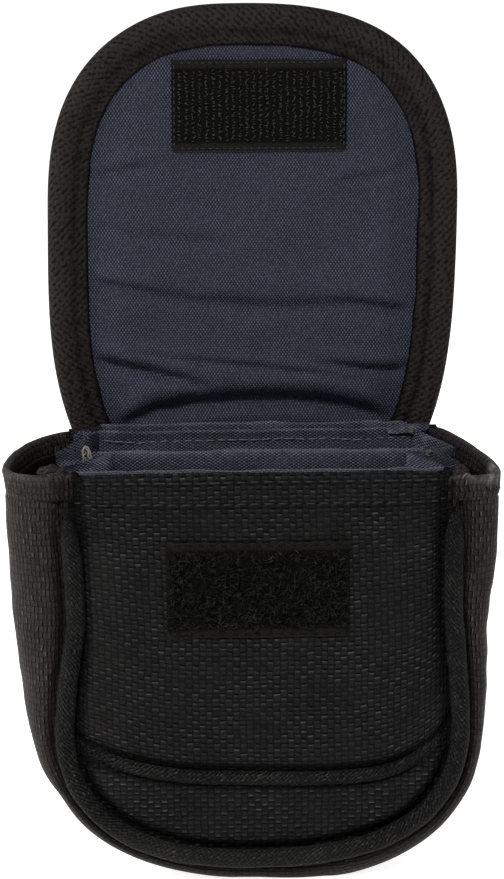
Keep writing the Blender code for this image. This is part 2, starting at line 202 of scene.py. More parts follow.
def grid_piece(name, rows, material, away, wrap=False, caps=False, thickness=0, lengths=None, sharp=50,
               painted_light_and_wear=None):
    """Rows of points become a cloth piece that faces away(point), with its own wall if it has a thickness.

    The lengths go to its cloth map, and its marks to an attribute: pale above 0, partly rubbed and partly
    painted highlight, and painted shade below 0.
    """
    columns = len(rows[0])
    if lengths is None:
        lengths = cloth_lengths(rows, wrap)
    faces = []
    places = []
    for r in range(len(rows) - 1):
        for c in range(columns if wrap else columns - 1):
            d = (c + 1) % columns
            faces.append((r * columns + c, r * columns + d, (r + 1) * columns + d, (r + 1) * columns + c))
            places += [lengths[r][c], lengths[r][c + 1], lengths[r + 1][c + 1], lengths[r + 1][c]]
    if caps:
        for r in (0, len(rows) - 1):
            faces.append(tuple(r * columns + c for c in range(columns)))
            places += [lengths[r][c] for c in range(columns)]
    mesh = bpy.data.meshes.new(name)
    mesh.from_pydata([tuple(point) for row in rows for point in row], [], faces)
    layer = mesh.uv_layers.new(name="cloth")
    for slot, place in zip(layer.data, places):
        slot.uv = place
    if painted_light_and_wear is not None:
        attribute = mesh.attributes.new("painted_light_and_wear", "FLOAT", "POINT")
        attribute.data.foreach_set("value", [painted_light_and_wear(Vector(point)) for row in rows for point in row])
    bm = bmesh.new()
    bm.from_mesh(mesh)
    if caps:
        bmesh.ops.recalc_face_normals(bm, faces=bm.faces)
    else:
        score = sum(face.normal.dot(away(face.calc_center_median())) * face.calc_area() for face in bm.faces)
        if score < 0:
            bmesh.ops.reverse_faces(bm, faces=bm.faces)
    bm.to_mesh(mesh)
    bm.free()
    obj = link(bpy.data.objects.new(name, mesh))
    mesh.materials.append(material)
    if thickness:
        wall = obj.modifiers.new("wall", "SOLIDIFY")
        wall.thickness = thickness
        wall.offset = -1
        wall.use_even_offset = False
        plain_mesh(obj)
    obj.data.shade_smooth()
    obj.data.set_sharp_from_angle(angle=math.radians(sharp))
    return obj


def flat_lengths(rows):
    """Metres across and up, for cloth that is seen straight on."""
    return [[(point[0], point[2]) for point in row] for row in rows]


def facing(x, y, z):
    direction = Vector((x, y, z))
    return lambda point: direction


def from_middle(point):
    return Vector((point.x, point.y, point.z - front_rim_height / 2))


# Shader groups

socket_kinds = {"Cloth": "Vector", "Geometry": "Geometry", "Finish": "Material"}
value_kinds = {float: "Float", int: "Int", tuple: "Vector"}


def group(name, inputs, outputs, kind="ShaderNodeTree"):
    """A node group: its tree, the sockets of its named inputs and those of its named outputs."""
    tree = bpy.data.node_groups.new(name, kind)
    for label, value in inputs.items():
        socket_kind = socket_kinds.get(label) or value_kinds[type(value)]
        socket = tree.interface.new_socket(label, in_out="INPUT", socket_type="NodeSocket" + socket_kind)
        if value is not None:
            socket.default_value = value
    for label in outputs:
        socket_kind = socket_kinds.get(label, "Float")
        tree.interface.new_socket(label, in_out="OUTPUT", socket_type="NodeSocket" + socket_kind)
    return tree, tree.nodes.new("NodeGroupInput").outputs, tree.nodes.new("NodeGroupOutput").inputs


def math_node(operation, tree, *values, clamp=False):
    node = tree.nodes.new("ShaderNodeMath")
    node.operation = operation
    node.use_clamp = clamp
    for socket, value in zip(node.inputs, values):
        if isinstance(value, (int, float)):
            socket.default_value = value
        else:
            tree.links.new(value, socket)
    return node.outputs[0]


plus, minus, times = (partial(math_node, operation) for operation in ("ADD", "SUBTRACT", "MULTIPLY"))


def noise_node(tree, vector, scale, detail=2, roughness=0.5):
    node = tree.nodes.new("ShaderNodeTexNoise")
    node.inputs["Scale"].default_value = scale
    node.inputs["Detail"].default_value = detail
    node.inputs["Roughness"].default_value = roughness
    tree.links.new(vector, node.inputs["Vector"])
    return node.outputs["Fac"]


def woven_cells():
    """Plain weave: raised floats across, laid like bricks over finer threads that run along."""
    tree, given, made = group(
        "woven_cells", {"Cloth": None, "Cell Width": 0.0017, "Cell Height": 0.0012, "Unevenness": 0.15,
                        "Filaments": 0.12, "Under": 0.55},
        ("Height", "Gap", "Cell", "Across", "Dash", "Line"))
    cloth = given["Cloth"]
    apart = tree.nodes.new("ShaderNodeSeparateXYZ")
    tree.links.new(cloth, apart.inputs[0])
    wander = noise_node(tree, cloth, 260, 1)
    wander = times(tree, minus(tree, wander, 0.5), given["Unevenness"])
    along = math_node("DIVIDE", tree, apart.outputs[0], given["Cell Width"])
    along = plus(tree, along, times(tree, wander, 2.2))
    up = math_node("DIVIDE", tree, apart.outputs[1], given["Cell Height"])
    up = plus(tree, up, times(tree, wander, -2.6))
    column = math_node("FLOOR", tree, along)
    row = math_node("FLOOR", tree, up)
    side = minus(tree, math_node("FRACT", tree, along), 0.5)
    level = minus(tree, math_node("FRACT", tree, up), 0.5)
    turn = math_node("FLOORED_MODULO", tree, plus(tree, column, row), 2)
    over = minus(tree, 1, turn)

    filaments_across = 4

    def thread(width, length):
        wide = times(tree, width, 1.85)
        round_top = minus(tree, 1, times(tree, wide, wide), clamp=True)
        round_top = math_node("SQRT", tree, round_top)
        long = times(tree, length, 2)
        long = times(tree, long, long)
        dive = times(tree, times(tree, long, long), 0.85)
        dive = minus(tree, 1, dive)
        line = math_node("COSINE", tree, times(tree, width, 6.2832 * filaments_across))
        line = times(tree, line, given["Filaments"])
        return plus(tree, times(tree, round_top, dive), line)

    flat = times(tree, thread(level, side), over)
    upright = times(tree, thread(side, level), given["Under"])
    height = plus(tree, times(tree, upright, turn), flat)
    tree.links.new(height, made["Height"])
    # Gap: the low places between threads, where cloth_material paints shade
    tree.links.new(minus(tree, 0.5, height, clamp=True), made["Gap"])
    inside = minus(tree, 0.46, math_node("ABSOLUTE", tree, side))
    inside = times(tree, times(tree, inside, 6, clamp=True), over)
    # Dash: a band along each float's lower edge, for painted shade; Line: a band across its middle, for a
    # painted highlight
    for label, centre, gain in (("Dash", 0.33, 4.6), ("Line", 0.00, 5.0)):
        away = math_node("ABSOLUTE", tree, plus(tree, level, centre))
        band = minus(tree, 1, times(tree, away, gain), clamp=True)
        tree.links.new(times(tree, band, inside), made[label])
    place = tree.nodes.new("ShaderNodeCombineXYZ")
    tree.links.new(column, place.inputs[0])
    tree.links.new(row, place.inputs[1])
    white = tree.nodes.new("ShaderNodeTexWhiteNoise")
    white.noise_dimensions = "2D"
    tree.links.new(place.outputs[0], white.inputs["Vector"])
    tree.links.new(white.outputs["Value"], made["Cell"])
    tree.links.new(turn, made["Across"])
    return tree


def twill_ribs():
    """Twill tape: slanting ribs, broken into short uneven nubs."""
    inputs = {"Cloth": None, "Rib Pitch": 0.0009, "Slant": 0.6}
    tree, given, made = group("twill_ribs", inputs, ("Height", "Gap"))
    cloth = given["Cloth"]
    apart = tree.nodes.new("ShaderNodeSeparateXYZ")
    tree.links.new(cloth, apart.inputs[0])
    wander = times(tree, noise_node(tree, cloth, 320, 2), 0.0006)
    lean = times(tree, apart.outputs[0], given["Slant"])
    path = plus(tree, plus(tree, apart.outputs[1], lean), wander)
    rib = math_node("DIVIDE", tree, path, given["Rib Pitch"])
    wave = math_node("ABSOLUTE", tree, math_node("SINE", tree, times(tree, rib, math.pi)))
    nubs = tree.nodes.new("ShaderNodeTexVoronoi")
    nubs.voronoi_dimensions = "2D"
    nubs.inputs["Scale"].default_value = 950
    tree.links.new(cloth, nubs.inputs["Vector"])
    nub = minus(tree, 1, times(tree, nubs.outputs["Distance"], 1.5), clamp=True)
    height = plus(tree, times(tree, wave, 0.45), times(tree, nub, 0.65))
    tree.links.new(height, made["Height"])
    tree.links.new(minus(tree, 0.62, height, clamp=True), made["Gap"])
    return tree


def cloth_age_and_light():
    """Patchy tone and lint of used fabric, with the piece's marks: pale above 0, partly rubbed and partly
    painted highlight, and painted shade below 0.
    """
    tree, given, made = group("cloth_age_and_light", {"Cloth": None, "Patchiness": 0.2, "Lint": 0.5, "Wear": 0.0},
                              ("Tone", "Paleness", "Patch"))
    cloth = given["Cloth"]
    broad = noise_node(tree, cloth, 55, 3, 0.6)
    fine = noise_node(tree, cloth, 2300, 1, 0.6)
    tone = minus(tree, plus(tree, times(tree, broad, 0.35), times(tree, fine, 0.65)), 0.5)
    tone = times(tree, times(tree, tone, given["Patchiness"]), 4)
    # Marks below 0 are painted shade, which darkens the tone
    shadow = plus(tree, 1, math_node("MINIMUM", tree, given["Wear"], 0), clamp=True)
    tree.links.new(times(tree, plus(tree, 1, tone), shadow), made["Tone"])
    patch = math_node("MULTIPLY_ADD", tree, minus(tree, noise_node(tree, cloth, 75, 2, 0.6), 0.5), 4, 0.75)
    tree.links.new(math_node("MINIMUM", tree, math_node("MAXIMUM", tree, patch, 0.25), 1.25), made["Patch"])
    specks = noise_node(tree, cloth, 1500, 1, 0.5)
    specks = times(tree, minus(tree, specks, 0.70, clamp=True), 6, clamp=True)
    specks = times(tree, specks, given["Lint"])
    # Marks above 0 are pale: partly rubbed places, partly painted highlights
    light_and_wear_marks = math_node("MAXIMUM", tree, given["Wear"], 0)
    light_and_wear_marks = times(tree, light_and_wear_marks, times(tree, fine, 1.6))
    tree.links.new(plus(tree, specks, light_and_wear_marks, clamp=True), made["Paleness"])
    return tree


weave_group = woven_cells()
twill_group = twill_ribs()
age_and_light_group = cloth_age_and_light()


def use_group(tree, node_group, **values):
    node = tree.nodes.new("ShaderNodeGroup")
    node.node_tree = node_group
    for label, value in values.items():
        socket = node.inputs[label.replace("_", " ")]
        if isinstance(value, (int, float)):
            socket.default_value = value
        else:
            tree.links.new(value, socket)
    return node


def mix_colour(tree, low, high, share, blend="MIX"):
    node = tree.nodes.new("ShaderNodeMix")
    node.data_type = "RGBA"
    node.blend_type = blend
    for socket, value in ((node.inputs[6], low), (node.inputs[7], high)):
        if isinstance(value, tuple):
            socket.default_value = (*value, 1)
        else:
            tree.links.new(value, socket)
    if isinstance(share, (int, float)):
        node.inputs[0].default_value = share
    else:
        tree.links.new(share, node.inputs[0])
    return node.outputs[2]


def grey(tree, value):
    node = tree.nodes.new("ShaderNodeCombineColor")
    for socket in node.inputs[:3]:
        tree.links.new(value, socket)
    return node.outputs[0]


def cloth_material(name, colour, cell=None, rib=None, slant=0.6, gap_dark=0.75, dash=0.0, under=0.55,
                   tone=0.2, lint=0.3, pale_colour=(0.10, 0.095, 0.09), roughness=0.62, specular=0.12, depth=0.0002,
                   cell_tone=0.25, across_tone=0.0, light_and_wear_marks=False, unevenness=0.15, filaments=0.12, turned=0):
    """A woven finish: a weave of cells or a twill of ribs, turned in degrees, with uneven tone and lint.

    When marked, it also takes the piece's pale places, partly rubbed and partly painted highlight, and its
    painted shade.
    """
    material = bpy.data.materials.new(name)
    material.use_nodes = True
    tree = material.node_tree
    shader = tree.nodes["Principled BSDF"]
    where = tree.nodes.new("ShaderNodeUVMap")
    where.uv_map = "cloth"
    cloth = where.outputs[0]
    if turned:
        turn = tree.nodes.new("ShaderNodeMapping")
        turn.inputs["Rotation"].default_value = (0, 0, math.radians(turned))
        tree.links.new(cloth, turn.inputs["Vector"])
        cloth = turn.outputs[0]
    if light_and_wear_marks:
        mark = tree.nodes.new("ShaderNodeAttribute")
        mark.attribute_name = "painted_light_and_wear"
        age_and_light = use_group(tree, age_and_light_group, Cloth=cloth, Patchiness=tone, Lint=lint, Wear=mark.outputs["Fac"])
    else:
        age_and_light = use_group(tree, age_and_light_group, Cloth=cloth, Patchiness=tone, Lint=lint)
    if cell:
        weave = use_group(tree, weave_group, Cloth=cloth, Cell_Width=cell[0], Cell_Height=cell[1],
                          Unevenness=unevenness, Filaments=filaments, Under=under)
        # Painted shade in the gaps between the threads
        gaps = times(tree, weave.outputs["Gap"], gap_dark * 2)
        shade = minus(tree, 1, gaps, clamp=True)
        each = math_node("MULTIPLY_ADD", tree, weave.outputs["Cell"], cell_tone, 1 - cell_tone / 2)
        shade = times(tree, shade, each)
        # Painted shade along each float's lower edge and a painted highlight across its middle, as light from
        # above would give them
        if dash:
            each = math_node("MULTIPLY_ADD", tree, weave.outputs["Cell"], 0.7, 0.65)
            each = times(tree, each, age_and_light.outputs["Patch"])
            line = times(tree, weave.outputs["Line"], 2.0)
            line = minus(tree, line, times(tree, weave.outputs["Dash"], 2.0))
            line = times(tree, times(tree, line, each), dash)
            shade = times(tree, shade, math_node("MAXIMUM", tree, plus(tree, line, 1), 0.04))
        if across_tone:
            other = math_node("MULTIPLY_ADD", tree, weave.outputs["Across"], -across_tone, 1.0)
            shade = times(tree, shade, other)
    else:
        weave = use_group(tree, twill_group, Cloth=cloth, Rib_Pitch=rib, Slant=slant)
        # Painted shade in the gaps between the ribs and nubs
        gaps = times(tree, weave.outputs["Gap"], gap_dark * 2)
        shade = minus(tree, 1, gaps, clamp=True)
    shade = times(tree, shade, age_and_light.outputs["Tone"])
    base = mix_colour(tree, colour, grey(tree, shade), 1, "MULTIPLY")
    base = mix_colour(tree, base, pale_colour, age_and_light.outputs["Paleness"])
    tree.links.new(base, shader.inputs["Base Color"])
    rough = math_node("MULTIPLY_ADD", tree, weave.outputs["Gap"], 0.5, roughness, clamp=True)
    tree.links.new(rough, shader.inputs["Roughness"])
    shader.inputs["Specular IOR Level"].default_value = specular
    bump = tree.nodes.new("ShaderNodeBump")
    bump.inputs["Strength"].default_value = 1
    bump.inputs["Distance"].default_value = depth
    tree.links.new(weave.outputs["Height"], bump.inputs["Height"])
    tree.links.new(bump.outputs[0], shader.inputs["Normal"])
    return material


def thread_material(name, colour, roughness=0.5, specular=0.2, clumps=0.0):
    """Sewing thread and moulded hooks: fine streaks of tone, and light and dark clumps in a pile."""
    material = bpy.data.materials.new(name)
    material.use_nodes = True
    tree = material.node_tree
    shader = tree.nodes["Principled BSDF"]
    where = tree.nodes.new("ShaderNodeTexCoord")
    streak = noise_node(tree, where.outputs["Object"], 2600, 2)
    share = plus(tree, 0.55, times(tree, streak, 0.9))
    if clumps:
        clump = minus(tree, noise_node(tree, where.outputs["Object"], 750, 1), 0.5)
        clump = math_node("MAXIMUM", tree, math_node("MULTIPLY_ADD", tree, clump, clumps * 4, 1), 0.12)
        share = times(tree, share, clump)
    tree.links.new(mix_colour(tree, colour, grey(tree, share), 1, "MULTIPLY"), shader.inputs["Base Color"])
    tree.links.new(plus(tree, roughness - 0.1, times(tree, streak, 0.2)), shader.inputs["Roughness"])
    shader.inputs["Specular IOR Level"].default_value = specular
    return material


ballistic = cloth_material(
    "ballistic_nylon", (0.0113, 0.0106, 0.0106), cell=(0.00175, 0.00124), gap_dark=0.95, dash=1.45, tone=0.60,
    lint=0.08, roughness=0.5, specular=0.05, depth=0.00045, filaments=0.10, across_tone=0.18, cell_tone=0.60,
    unevenness=0.28, light_and_wear_marks=True)
# The same nylon as the front, given a lighter colour: partly painted light, for the light that grazes the
# sides
side_nylon = cloth_material(
    "side_nylon", (0.0222, 0.0192, 0.0182), cell=(0.00168, 0.00112), gap_dark=0.9, under=0.85, dash=1.2,
    tone=0.55, lint=0.15, roughness=0.5, specular=0.06, depth=0.00036, light_and_wear_marks=True, pale_colour=(0.21, 0.20, 0.19),
    unevenness=0.35, cell_tone=0.5, turned=90, filaments=0.15)
piping_cloth = cloth_material(
    "piping_cloth", (0.0104, 0.0101, 0.0099), cell=(0.00110, 0.00085), gap_dark=2.0, dash=1.2, under=0.8,
    tone=1.15, lint=0.10, roughness=0.55, specular=0.05, depth=0.00030, light_and_wear_marks=True, cell_tone=0.9,
    unevenness=0.9, turned=52)
binding_cloth = cloth_material(
    "binding_twill", (0.0180, 0.0155, 0.0143), rib=0.00200, slant=-1.0, tone=0.52, lint=0.25, roughness=0.60,
    specular=0.05, depth=0.00030, light_and_wear_marks=True, pale_colour=(0.075, 0.070, 0.062))
lining_cell = (0.000409, 0.000613)
grey_cloth = cloth_material(
    "grey_lining", (0.0505, 0.0548, 0.0815), cell=lining_cell, gap_dark=1.0, under=0.8, tone=0.14, lint=0.06,
    pale_colour=(0.16, 0.16, 0.18), roughness=0.45, specular=0.10, cell_tone=0.45, across_tone=0.80, unevenness=0.08,
    filaments=0.0, light_and_wear_marks=True)
# The same grey lining as the flap's, given a lighter colour: painted light for the shade in the pockets
pocket_cloth = cloth_material(
    "pocket_lining", (0.0780, 0.0840, 0.1210), cell=lining_cell, gap_dark=1.1, under=0.8, tone=0.22,
    lint=0.08, pale_colour=(0.20, 0.20, 0.22), roughness=0.45, specular=0.10, depth=0.00022, cell_tone=0.55,
    across_tone=0.95, unevenness=0.10, filaments=0.0, light_and_wear_marks=True, turned=90)
black_cloth = cloth_material(
    "black_lining", (0.0050, 0.0050, 0.0052), cell=(0.0009, 0.0009), gap_dark=0.9, tone=0.4, roughness=0.7,
    specular=0.05)
webbing_cloth = cloth_material(
    "webbing", (0.0150, 0.0145, 0.0145), cell=(0.0019, 0.0011), gap_dark=0.9, tone=0.15, dash=0.5, under=0.9,
    roughness=0.55, specular=0.10, depth=0.00036, filaments=0.15)
# The tapes' weave is given a far darker colour than the hooks and loops on it: painted shade under the pile
tape_cloth = cloth_material(
    "tape_weave", (0.0022, 0.0021, 0.0019), cell=(0.0010, 0.0005), gap_dark=0.9, tone=0.35, under=0.9,
    roughness=0.65, specular=0.06, depth=0.00018, cell_tone=0.8, light_and_wear_marks=True, pale_colour=(0.035, 0.033, 0.028))
black_thread = thread_material("black_thread", (0.0190, 0.0182, 0.0176), 0.5, 0.12)
# Black thread given a darker colour for the stitches that sit in creases: painted shade
dark_thread = thread_material("dark_thread", (0.0035, 0.0034, 0.0032), 0.6, 0.05)
grey_thread = thread_material("grey_thread", (0.085, 0.083, 0.080))
pale_thread = thread_material("pale_thread", (0.180, 0.165, 0.140))
# The hooks are given a lighter colour than their tape's same nylon: painted highlight
hook_nylon = thread_material("hook_nylon", (0.0155, 0.0155, 0.0132), 0.35, 0.25)
loop_nylon = thread_material("loop_nylon", (0.0086, 0.0084, 0.0079), 0.5, 0.06, clumps=1.5)


# Geometry Nodes tools

def add(tree, kind, settings=None, **links):
    """The first output of a new node; links maps input names, with _ for a space, to values or sockets."""
    node = tree.nodes.new(kind)
    for key, value in (settings or {}).items():
        setattr(node, key, value)
    for label, value in links.items():
        socket = node.inputs[int(label[1:])] if label[0] == "_" else node.inputs[label.replace("_", " ")]
        if isinstance(value, bpy.types.NodeSocket):
            tree.links.new(value, socket)
        else:
            socket.default_value = value
    return node.outputs[0]


def vector_of(tree, name):
    return add(tree, "GeometryNodeInputNamedAttribute", {"data_type": "FLOAT_VECTOR"}, Name=name)


def thread_round(tree, given, line, sides):
    """A capped thread round a line."""
    ring = add(tree, "GeometryNodeCurvePrimitiveCircle", {"mode": "RADIUS"}, Resolution=sides,
               Radius=given["Thread Radius"])
    return add(tree, "GeometryNodeCurveToMesh", Curve=line, Profile_Curve=ring, Fill_Caps=True)


def spin_of(tree, given, tangent):
    """Rotation that stands Z along the mesh's away and X along a tangent, a little uneven."""
    upright = add(tree, "FunctionNodeAlignRotationToVector", {"axis": "Z"}, Vector=vector_of(tree, "away"))
    upright = add(tree, "FunctionNodeAlignRotationToVector", {"axis": "X", "pivot_axis": "Z"},
                  Rotation=upright, Vector=tangent)
    least = add(tree, "ShaderNodeVectorMath", {"operation": "SCALE"}, _0=given["Wobble"], Scale=-1.0)
    turn = add(tree, "FunctionNodeRandomValue", {"data_type": "FLOAT_VECTOR"}, _0=least, _1=given["Wobble"],
               Seed=given["Seed"])
    turn = add(tree, "FunctionNodeEulerToRotation", Euler=turn)
    return add(tree, "FunctionNodeRotateRotation", {"rotation_space": "LOCAL"}, Rotation=upright,
               Rotate_By=turn)


def lay_out(tree, given, made, tangent, **links):
    """Copies that stand on points, made real, with the tool's material and smooth shading."""
    copies = add(tree, "GeometryNodeInstanceOnPoints", Rotation=spin_of(tree, given, tangent), **links)
    real = add(tree, "GeometryNodeRealizeInstances", Geometry=copies)
    real = add(tree, "GeometryNodeSetMaterial", Geometry=real, Material=given["Finish"])
    real = add(tree, "GeometryNodeSetShadeSmooth", Geometry=real)
    tree.links.new(real, made[0])
    return tree


def stitch_tool():
    """Stitches along every edge path of a mesh, with tapered ends that dip into the cloth."""
    tree, given, made = group(
        "stitch_row", {"Geometry": None, "Stitch Length": 0.0028, "Pitch": 0.0034, "Thread Radius": 0.0002,
                       "Dip": 0.0003, "Wobble": (0.03, 0.03, 0.05), "Seed": 3, "Finish": None},
        ("Geometry",), "GeometryNodeTree")
    path = add(tree, "GeometryNodeMeshToCurve", Mesh=given["Geometry"])
    path = add(tree, "GeometryNodeResampleCurve", {"mode": "LENGTH"}, Curve=path, Length=given["Pitch"])
    start, end = (add(tree, "ShaderNodeCombineXYZ", X=times(tree, given["Stitch Length"], half))
                  for half in (-0.5, 0.5))
    line = add(tree, "GeometryNodeCurvePrimitiveLine", Start=start, End=end)
    line = add(tree, "GeometryNodeResampleCurve", {"mode": "COUNT"}, Curve=line, Count=5)
    centred = math_node("MULTIPLY_ADD", tree, add(tree, "GeometryNodeSplineParameter"), 2.0, -1.0)
    near_end = math_node("POWER", tree, centred, 4.0)
    drop = times(tree, times(tree, near_end, given["Dip"]), -1.0)
    dip = add(tree, "ShaderNodeCombineXYZ", Z=drop)
    line = add(tree, "GeometryNodeSetPosition", Geometry=line, Offset=dip)
    taper = math_node("MULTIPLY_ADD", tree, near_end, -0.45, 1.0)
    line = add(tree, "GeometryNodeSetCurveRadius", Curve=line, Radius=taper)
    stitch = thread_round(tree, given, line, 6)
    if "Scale" in stitch.node.inputs:
        tree.links.new(taper, stitch.node.inputs["Scale"])
    return lay_out(tree, given, made, add(tree, "GeometryNodeInputTangent"), Points=path, Instance=stitch)


def pile_tool():
    """Hooks or loops of thread standing on the points of a mesh."""
    tree, given, made = group(
        "thread_pile", {"Geometry": None, "Radius": 0.0004, "Start": 0.0, "Sweep": 4.0, "Segments": 8,
                        "Sides": 4, "Thread Radius": 0.0001, "Stand": 0.0002, "Wobble": (0.1, 0.1, 0.2),
                        "Size Spread": 0.2, "Seed": 3, "Finish": None},
        ("Geometry",), "GeometryNodeTree")
    arc = add(tree, "GeometryNodeCurveArc", {"mode": "RADIUS"}, Resolution=given["Segments"],
              Radius=given["Radius"], Start_Angle=given["Start"], Sweep_Angle=given["Sweep"])
    lift = add(tree, "ShaderNodeCombineXYZ", Z=given["Stand"])
    arc = add(tree, "GeometryNodeTransform", Geometry=arc, Translation=lift, Rotation=(math.pi / 2, 0, 0))
    thread = thread_round(tree, given, arc, given["Sides"])
    least, most = minus(tree, 1.0, given["Size Spread"]), plus(tree, 1.0, given["Size Spread"])
    size = add(tree, "FunctionNodeRandomValue", {"data_type": "FLOAT"}, _2=least, _3=most, Seed=given["Seed"])
    return lay_out(tree, given, made, vector_of(tree, "along"), Points=given["Geometry"], Instance=thread,
                   Scale=size.node.outputs[1])


stitch_tree = stitch_tool()
pile_tree = pile_tool()


def run_tool(obj, tree, values):
    """Run a Geometry Nodes tool on a piece, with values for its named inputs."""
    names = {item.name: item.identifier for item in tree.interface.items_tree if item.in_out == "INPUT"}
    modifier = obj.modifiers.new("tool", "NODES")
    modifier.node_group = tree
    for label, value in values.items():
        modifier[names[label]] = value
    return plain_mesh(obj)


def vector_attribute(mesh, name, vectors):
    attribute = mesh.attributes.new(name, "FLOAT_VECTOR", "POINT")
    attribute.data.foreach_set("vector", [number for vector in vectors for number in vector])


def stitches(name, paths, material, length=0.0028, gap=0.0007, radius=0.00020, dip=0.0003, wobble=0.04):
    """One piece of stitching along several paths of (point, away) pairs."""
    points = []
    aways = []
    edges = []
    for path in paths:
        first = len(points)
        for point, away in path:
            points.append(tuple(point))
            aways.append(Vector(away).normalized())
        edges += [(index, index + 1) for index in range(first, len(points) - 1)]
    mesh = bpy.data.meshes.new(name)
    mesh.from_pydata(points, edges, [])
    vector_attribute(mesh, "away", aways)
    obj = link(bpy.data.objects.new(name, mesh))
    values = {"Stitch Length": length, "Pitch": length + gap, "Thread Radius": radius, "Dip": dip,
              "Wobble": (wobble, wobble, wobble), "Seed": 3, "Finish": material}
    return run_tool(obj, stitch_tree, values)


def stitch_path(places, surface, sink, away=(0, -1, 0)):
    """A line of stitches over a surface at places of (x, z), a little in front of it."""
    return [(Vector((x, surface(x, z) - sink, z)), away) for x, z in places]


def pile(name, points, aways, alongs, material, **values):
    mesh = bpy.data.meshes.new(name)
    mesh.from_pydata([tuple(point) for point in points], [], [])
    vector_attribute(mesh, "away", aways)
    vector_attribute(mesh, "along", alongs)
    obj = link(bpy.data.objects.new(name, mesh))
    values = {label.replace("_", " "): value for label, value in values.items()}
    values["Finish"] = material
    return run_tool(obj, pile_tree, values)


def tube(name, path, radius, material, sides=12, squash=1.0, taper=0.0, painted_light_and_wear=None, seed=0, rough=0.0):
    """A fabric-covered cord along a path of (point, side, out) frames."""
    rows = []
    last = len(path) - 1
    for index, (point, side, out) in enumerate(path):
        end = min(index, last - index) / last
        size = radius * (1 - taper * (1 - ease(0, 0.03, end) ** 0.5))
        size *= 1 + rough * drift(*point, 0.006, seed)
        row = []
        for step in range(sides):
            angle = 2 * math.pi * step / sides
            row.append(point + side * size * math.cos(angle) + out * size * squash * math.sin(angle))
        rows.append(row)
    return grid_piece(name, rows, material, from_middle, wrap=True, caps=True, painted_light_and_wear=painted_light_and_wear)


# The sewn outline

def seam_points():
    steps = 90
    line = []
    for side in (-1, 1):
        corner = seam_bottom + corner_height
        half = [(side * seam_half_width, z) for z in spread(front_rim_height, corner, steps)]
        for angle in spread(0, math.pi / 2, steps)[1:]:
            across = abs(math.cos(angle)) ** (2 / corner_power)
            down = abs(math.sin(angle)) ** (2 / corner_power)
            half.append((side * seam_half_width * across, corner - corner_height * down))
        line += half if side < 0 else half[-2::-1]
    return line


def even_seam(count=400):
    line = seam_points()
    lengths = [0]
    for near, far in zip(line, line[1:]):
        lengths.append(lengths[-1] + math.dist(near, far))
    stations = []
    place = 0
    for step in range(count + 1):
        target = lengths[-1] * step / count
        while place < len(line) - 2 and lengths[place + 1] < target:
            place += 1
        share = (target - lengths[place]) / (lengths[place + 1] - lengths[place])
        near, far = line[place], line[place + 1]
        stations.append((mix(near[0], far[0], share), mix(near[1], far[1], share)))
    made = []
    for index, (x, z) in enumerate(stations):
        before = stations[max(index - 2, 0)]
        after = stations[min(index + 2, count)]
        run, rise = after[0] - before[0], after[1] - before[1]
        length = math.hypot(run, rise)
        made.append((x, z, rise / length, -run / length))
    return made, lengths[-1]


seam_stations, seam_length = even_seam()


def sway_at(side, z):
    """How far the front seam wanders outward at a height."""
    column = 1 if side < 0 else 2
    for near, far in zip(seam_sway, seam_sway[1:]):
        if z <= far[0]:
            return mix(near[column], far[column], ease(near[0], far[0], z))
    return 0


def seam_at(share, outward, top=front_rim_height, sway=0.0):
    """The sewn outline at a share of its length from the left rim, moved outward."""
    place = min(1, max(0, share)) * (len(seam_stations) - 1)
    low = min(int(place), len(seam_stations) - 2)
    x, z, out_x, out_z = (mix(a, b, place - low) for a, b in zip(seam_stations[low], seam_stations[low + 1]))
    corner = seam_bottom + corner_height
    if z > corner:
        z = mix(corner, top, (z - corner) / (front_rim_height - corner))
    if sway:
        outward += sway * sway_at(x, z)
    return x + out_x * outward, z + out_z * outward


def side_x(side, z, inset):
    """Where the sewn outline's inside is at a height, on one side."""
    corner = seam_bottom + corner_height
    reach = seam_half_width - inset
    share = min(1, max(0, (corner - z) / (corner_height - inset)))
    return side * (reach * (1 - share ** corner_power) ** (1 / corner_power) + sway_at(side, z))


def rounded_distance(x, rise, half_width, height, power):
    """Rough distance in from the edge of a rounded end; rise counts from where the rounding starts."""
    if rise <= 0:
        return half_width - abs(x)
    across, up = abs(x) / half_width, rise / height
    level = (across ** power + up ** power) ** (1 / power)
    slope_x = (across / level) ** (power - 1) / half_width
    slope_z = (up / level) ** (power - 1) / height
    return (1 - level) / math.hypot(slope_x, slope_z)


def edge_distance(x, z):
    """Rough distance in from the sewn outline."""
    sway = max(0.0009 * ease(0.030, 0.010, z), sway_at(x, z) * ease(0.010, 0.035, abs(x)))
    rise = seam_bottom + corner_height - z
    return rounded_distance(x, rise, seam_half_width, corner_height, corner_power) + sway


def welt_z(x):
    rise, power = welt_rises[-1 if x < 0 else 1]
    return welt_middle_height + rise * (min(abs(x), seam_half_width) / seam_half_width) ** power


# Front wall

hem_stitch_heights = (0.1098, 0.1042)
cloth_inset = panel_inset - 0.0014


def front_painted_light(point):
    """Painted shade in the creases by the piping and the welt and at the hem's stitches, darker towards the
    top, and a faint painted highlight near the left edge.
    """
    edge = edge_distance(point.x, point.z)
    off = point.z - welt_z(point.x)
    dark = mix(0.42, 0.66, ease(0.012, 0.024, point.z)) * (1 - ease(0.0034, 0.0054, edge))
    dark += 0.75 * hump(off - 0.0032, 0.0010) + 0.09 * ease(0.090, 0.102, point.z)
    dark += 0.60 * hump(off + 0.0026, 0.0007)
    dark += 0.50 * hump(point.z - hem_stitch_heights[1] + 0.0006, 0.0006)
    dark += 0.45 * hump(point.z - hem_stitch_heights[0] + 0.0006, 0.0005)
    # Faint painted highlight near the left edge, where light grazes
    grazed = 0.05 * ease(-0.030, -0.043, point.x) * ease(0.0050, 0.0070, edge)
    return grazed - min(0.92, dark)


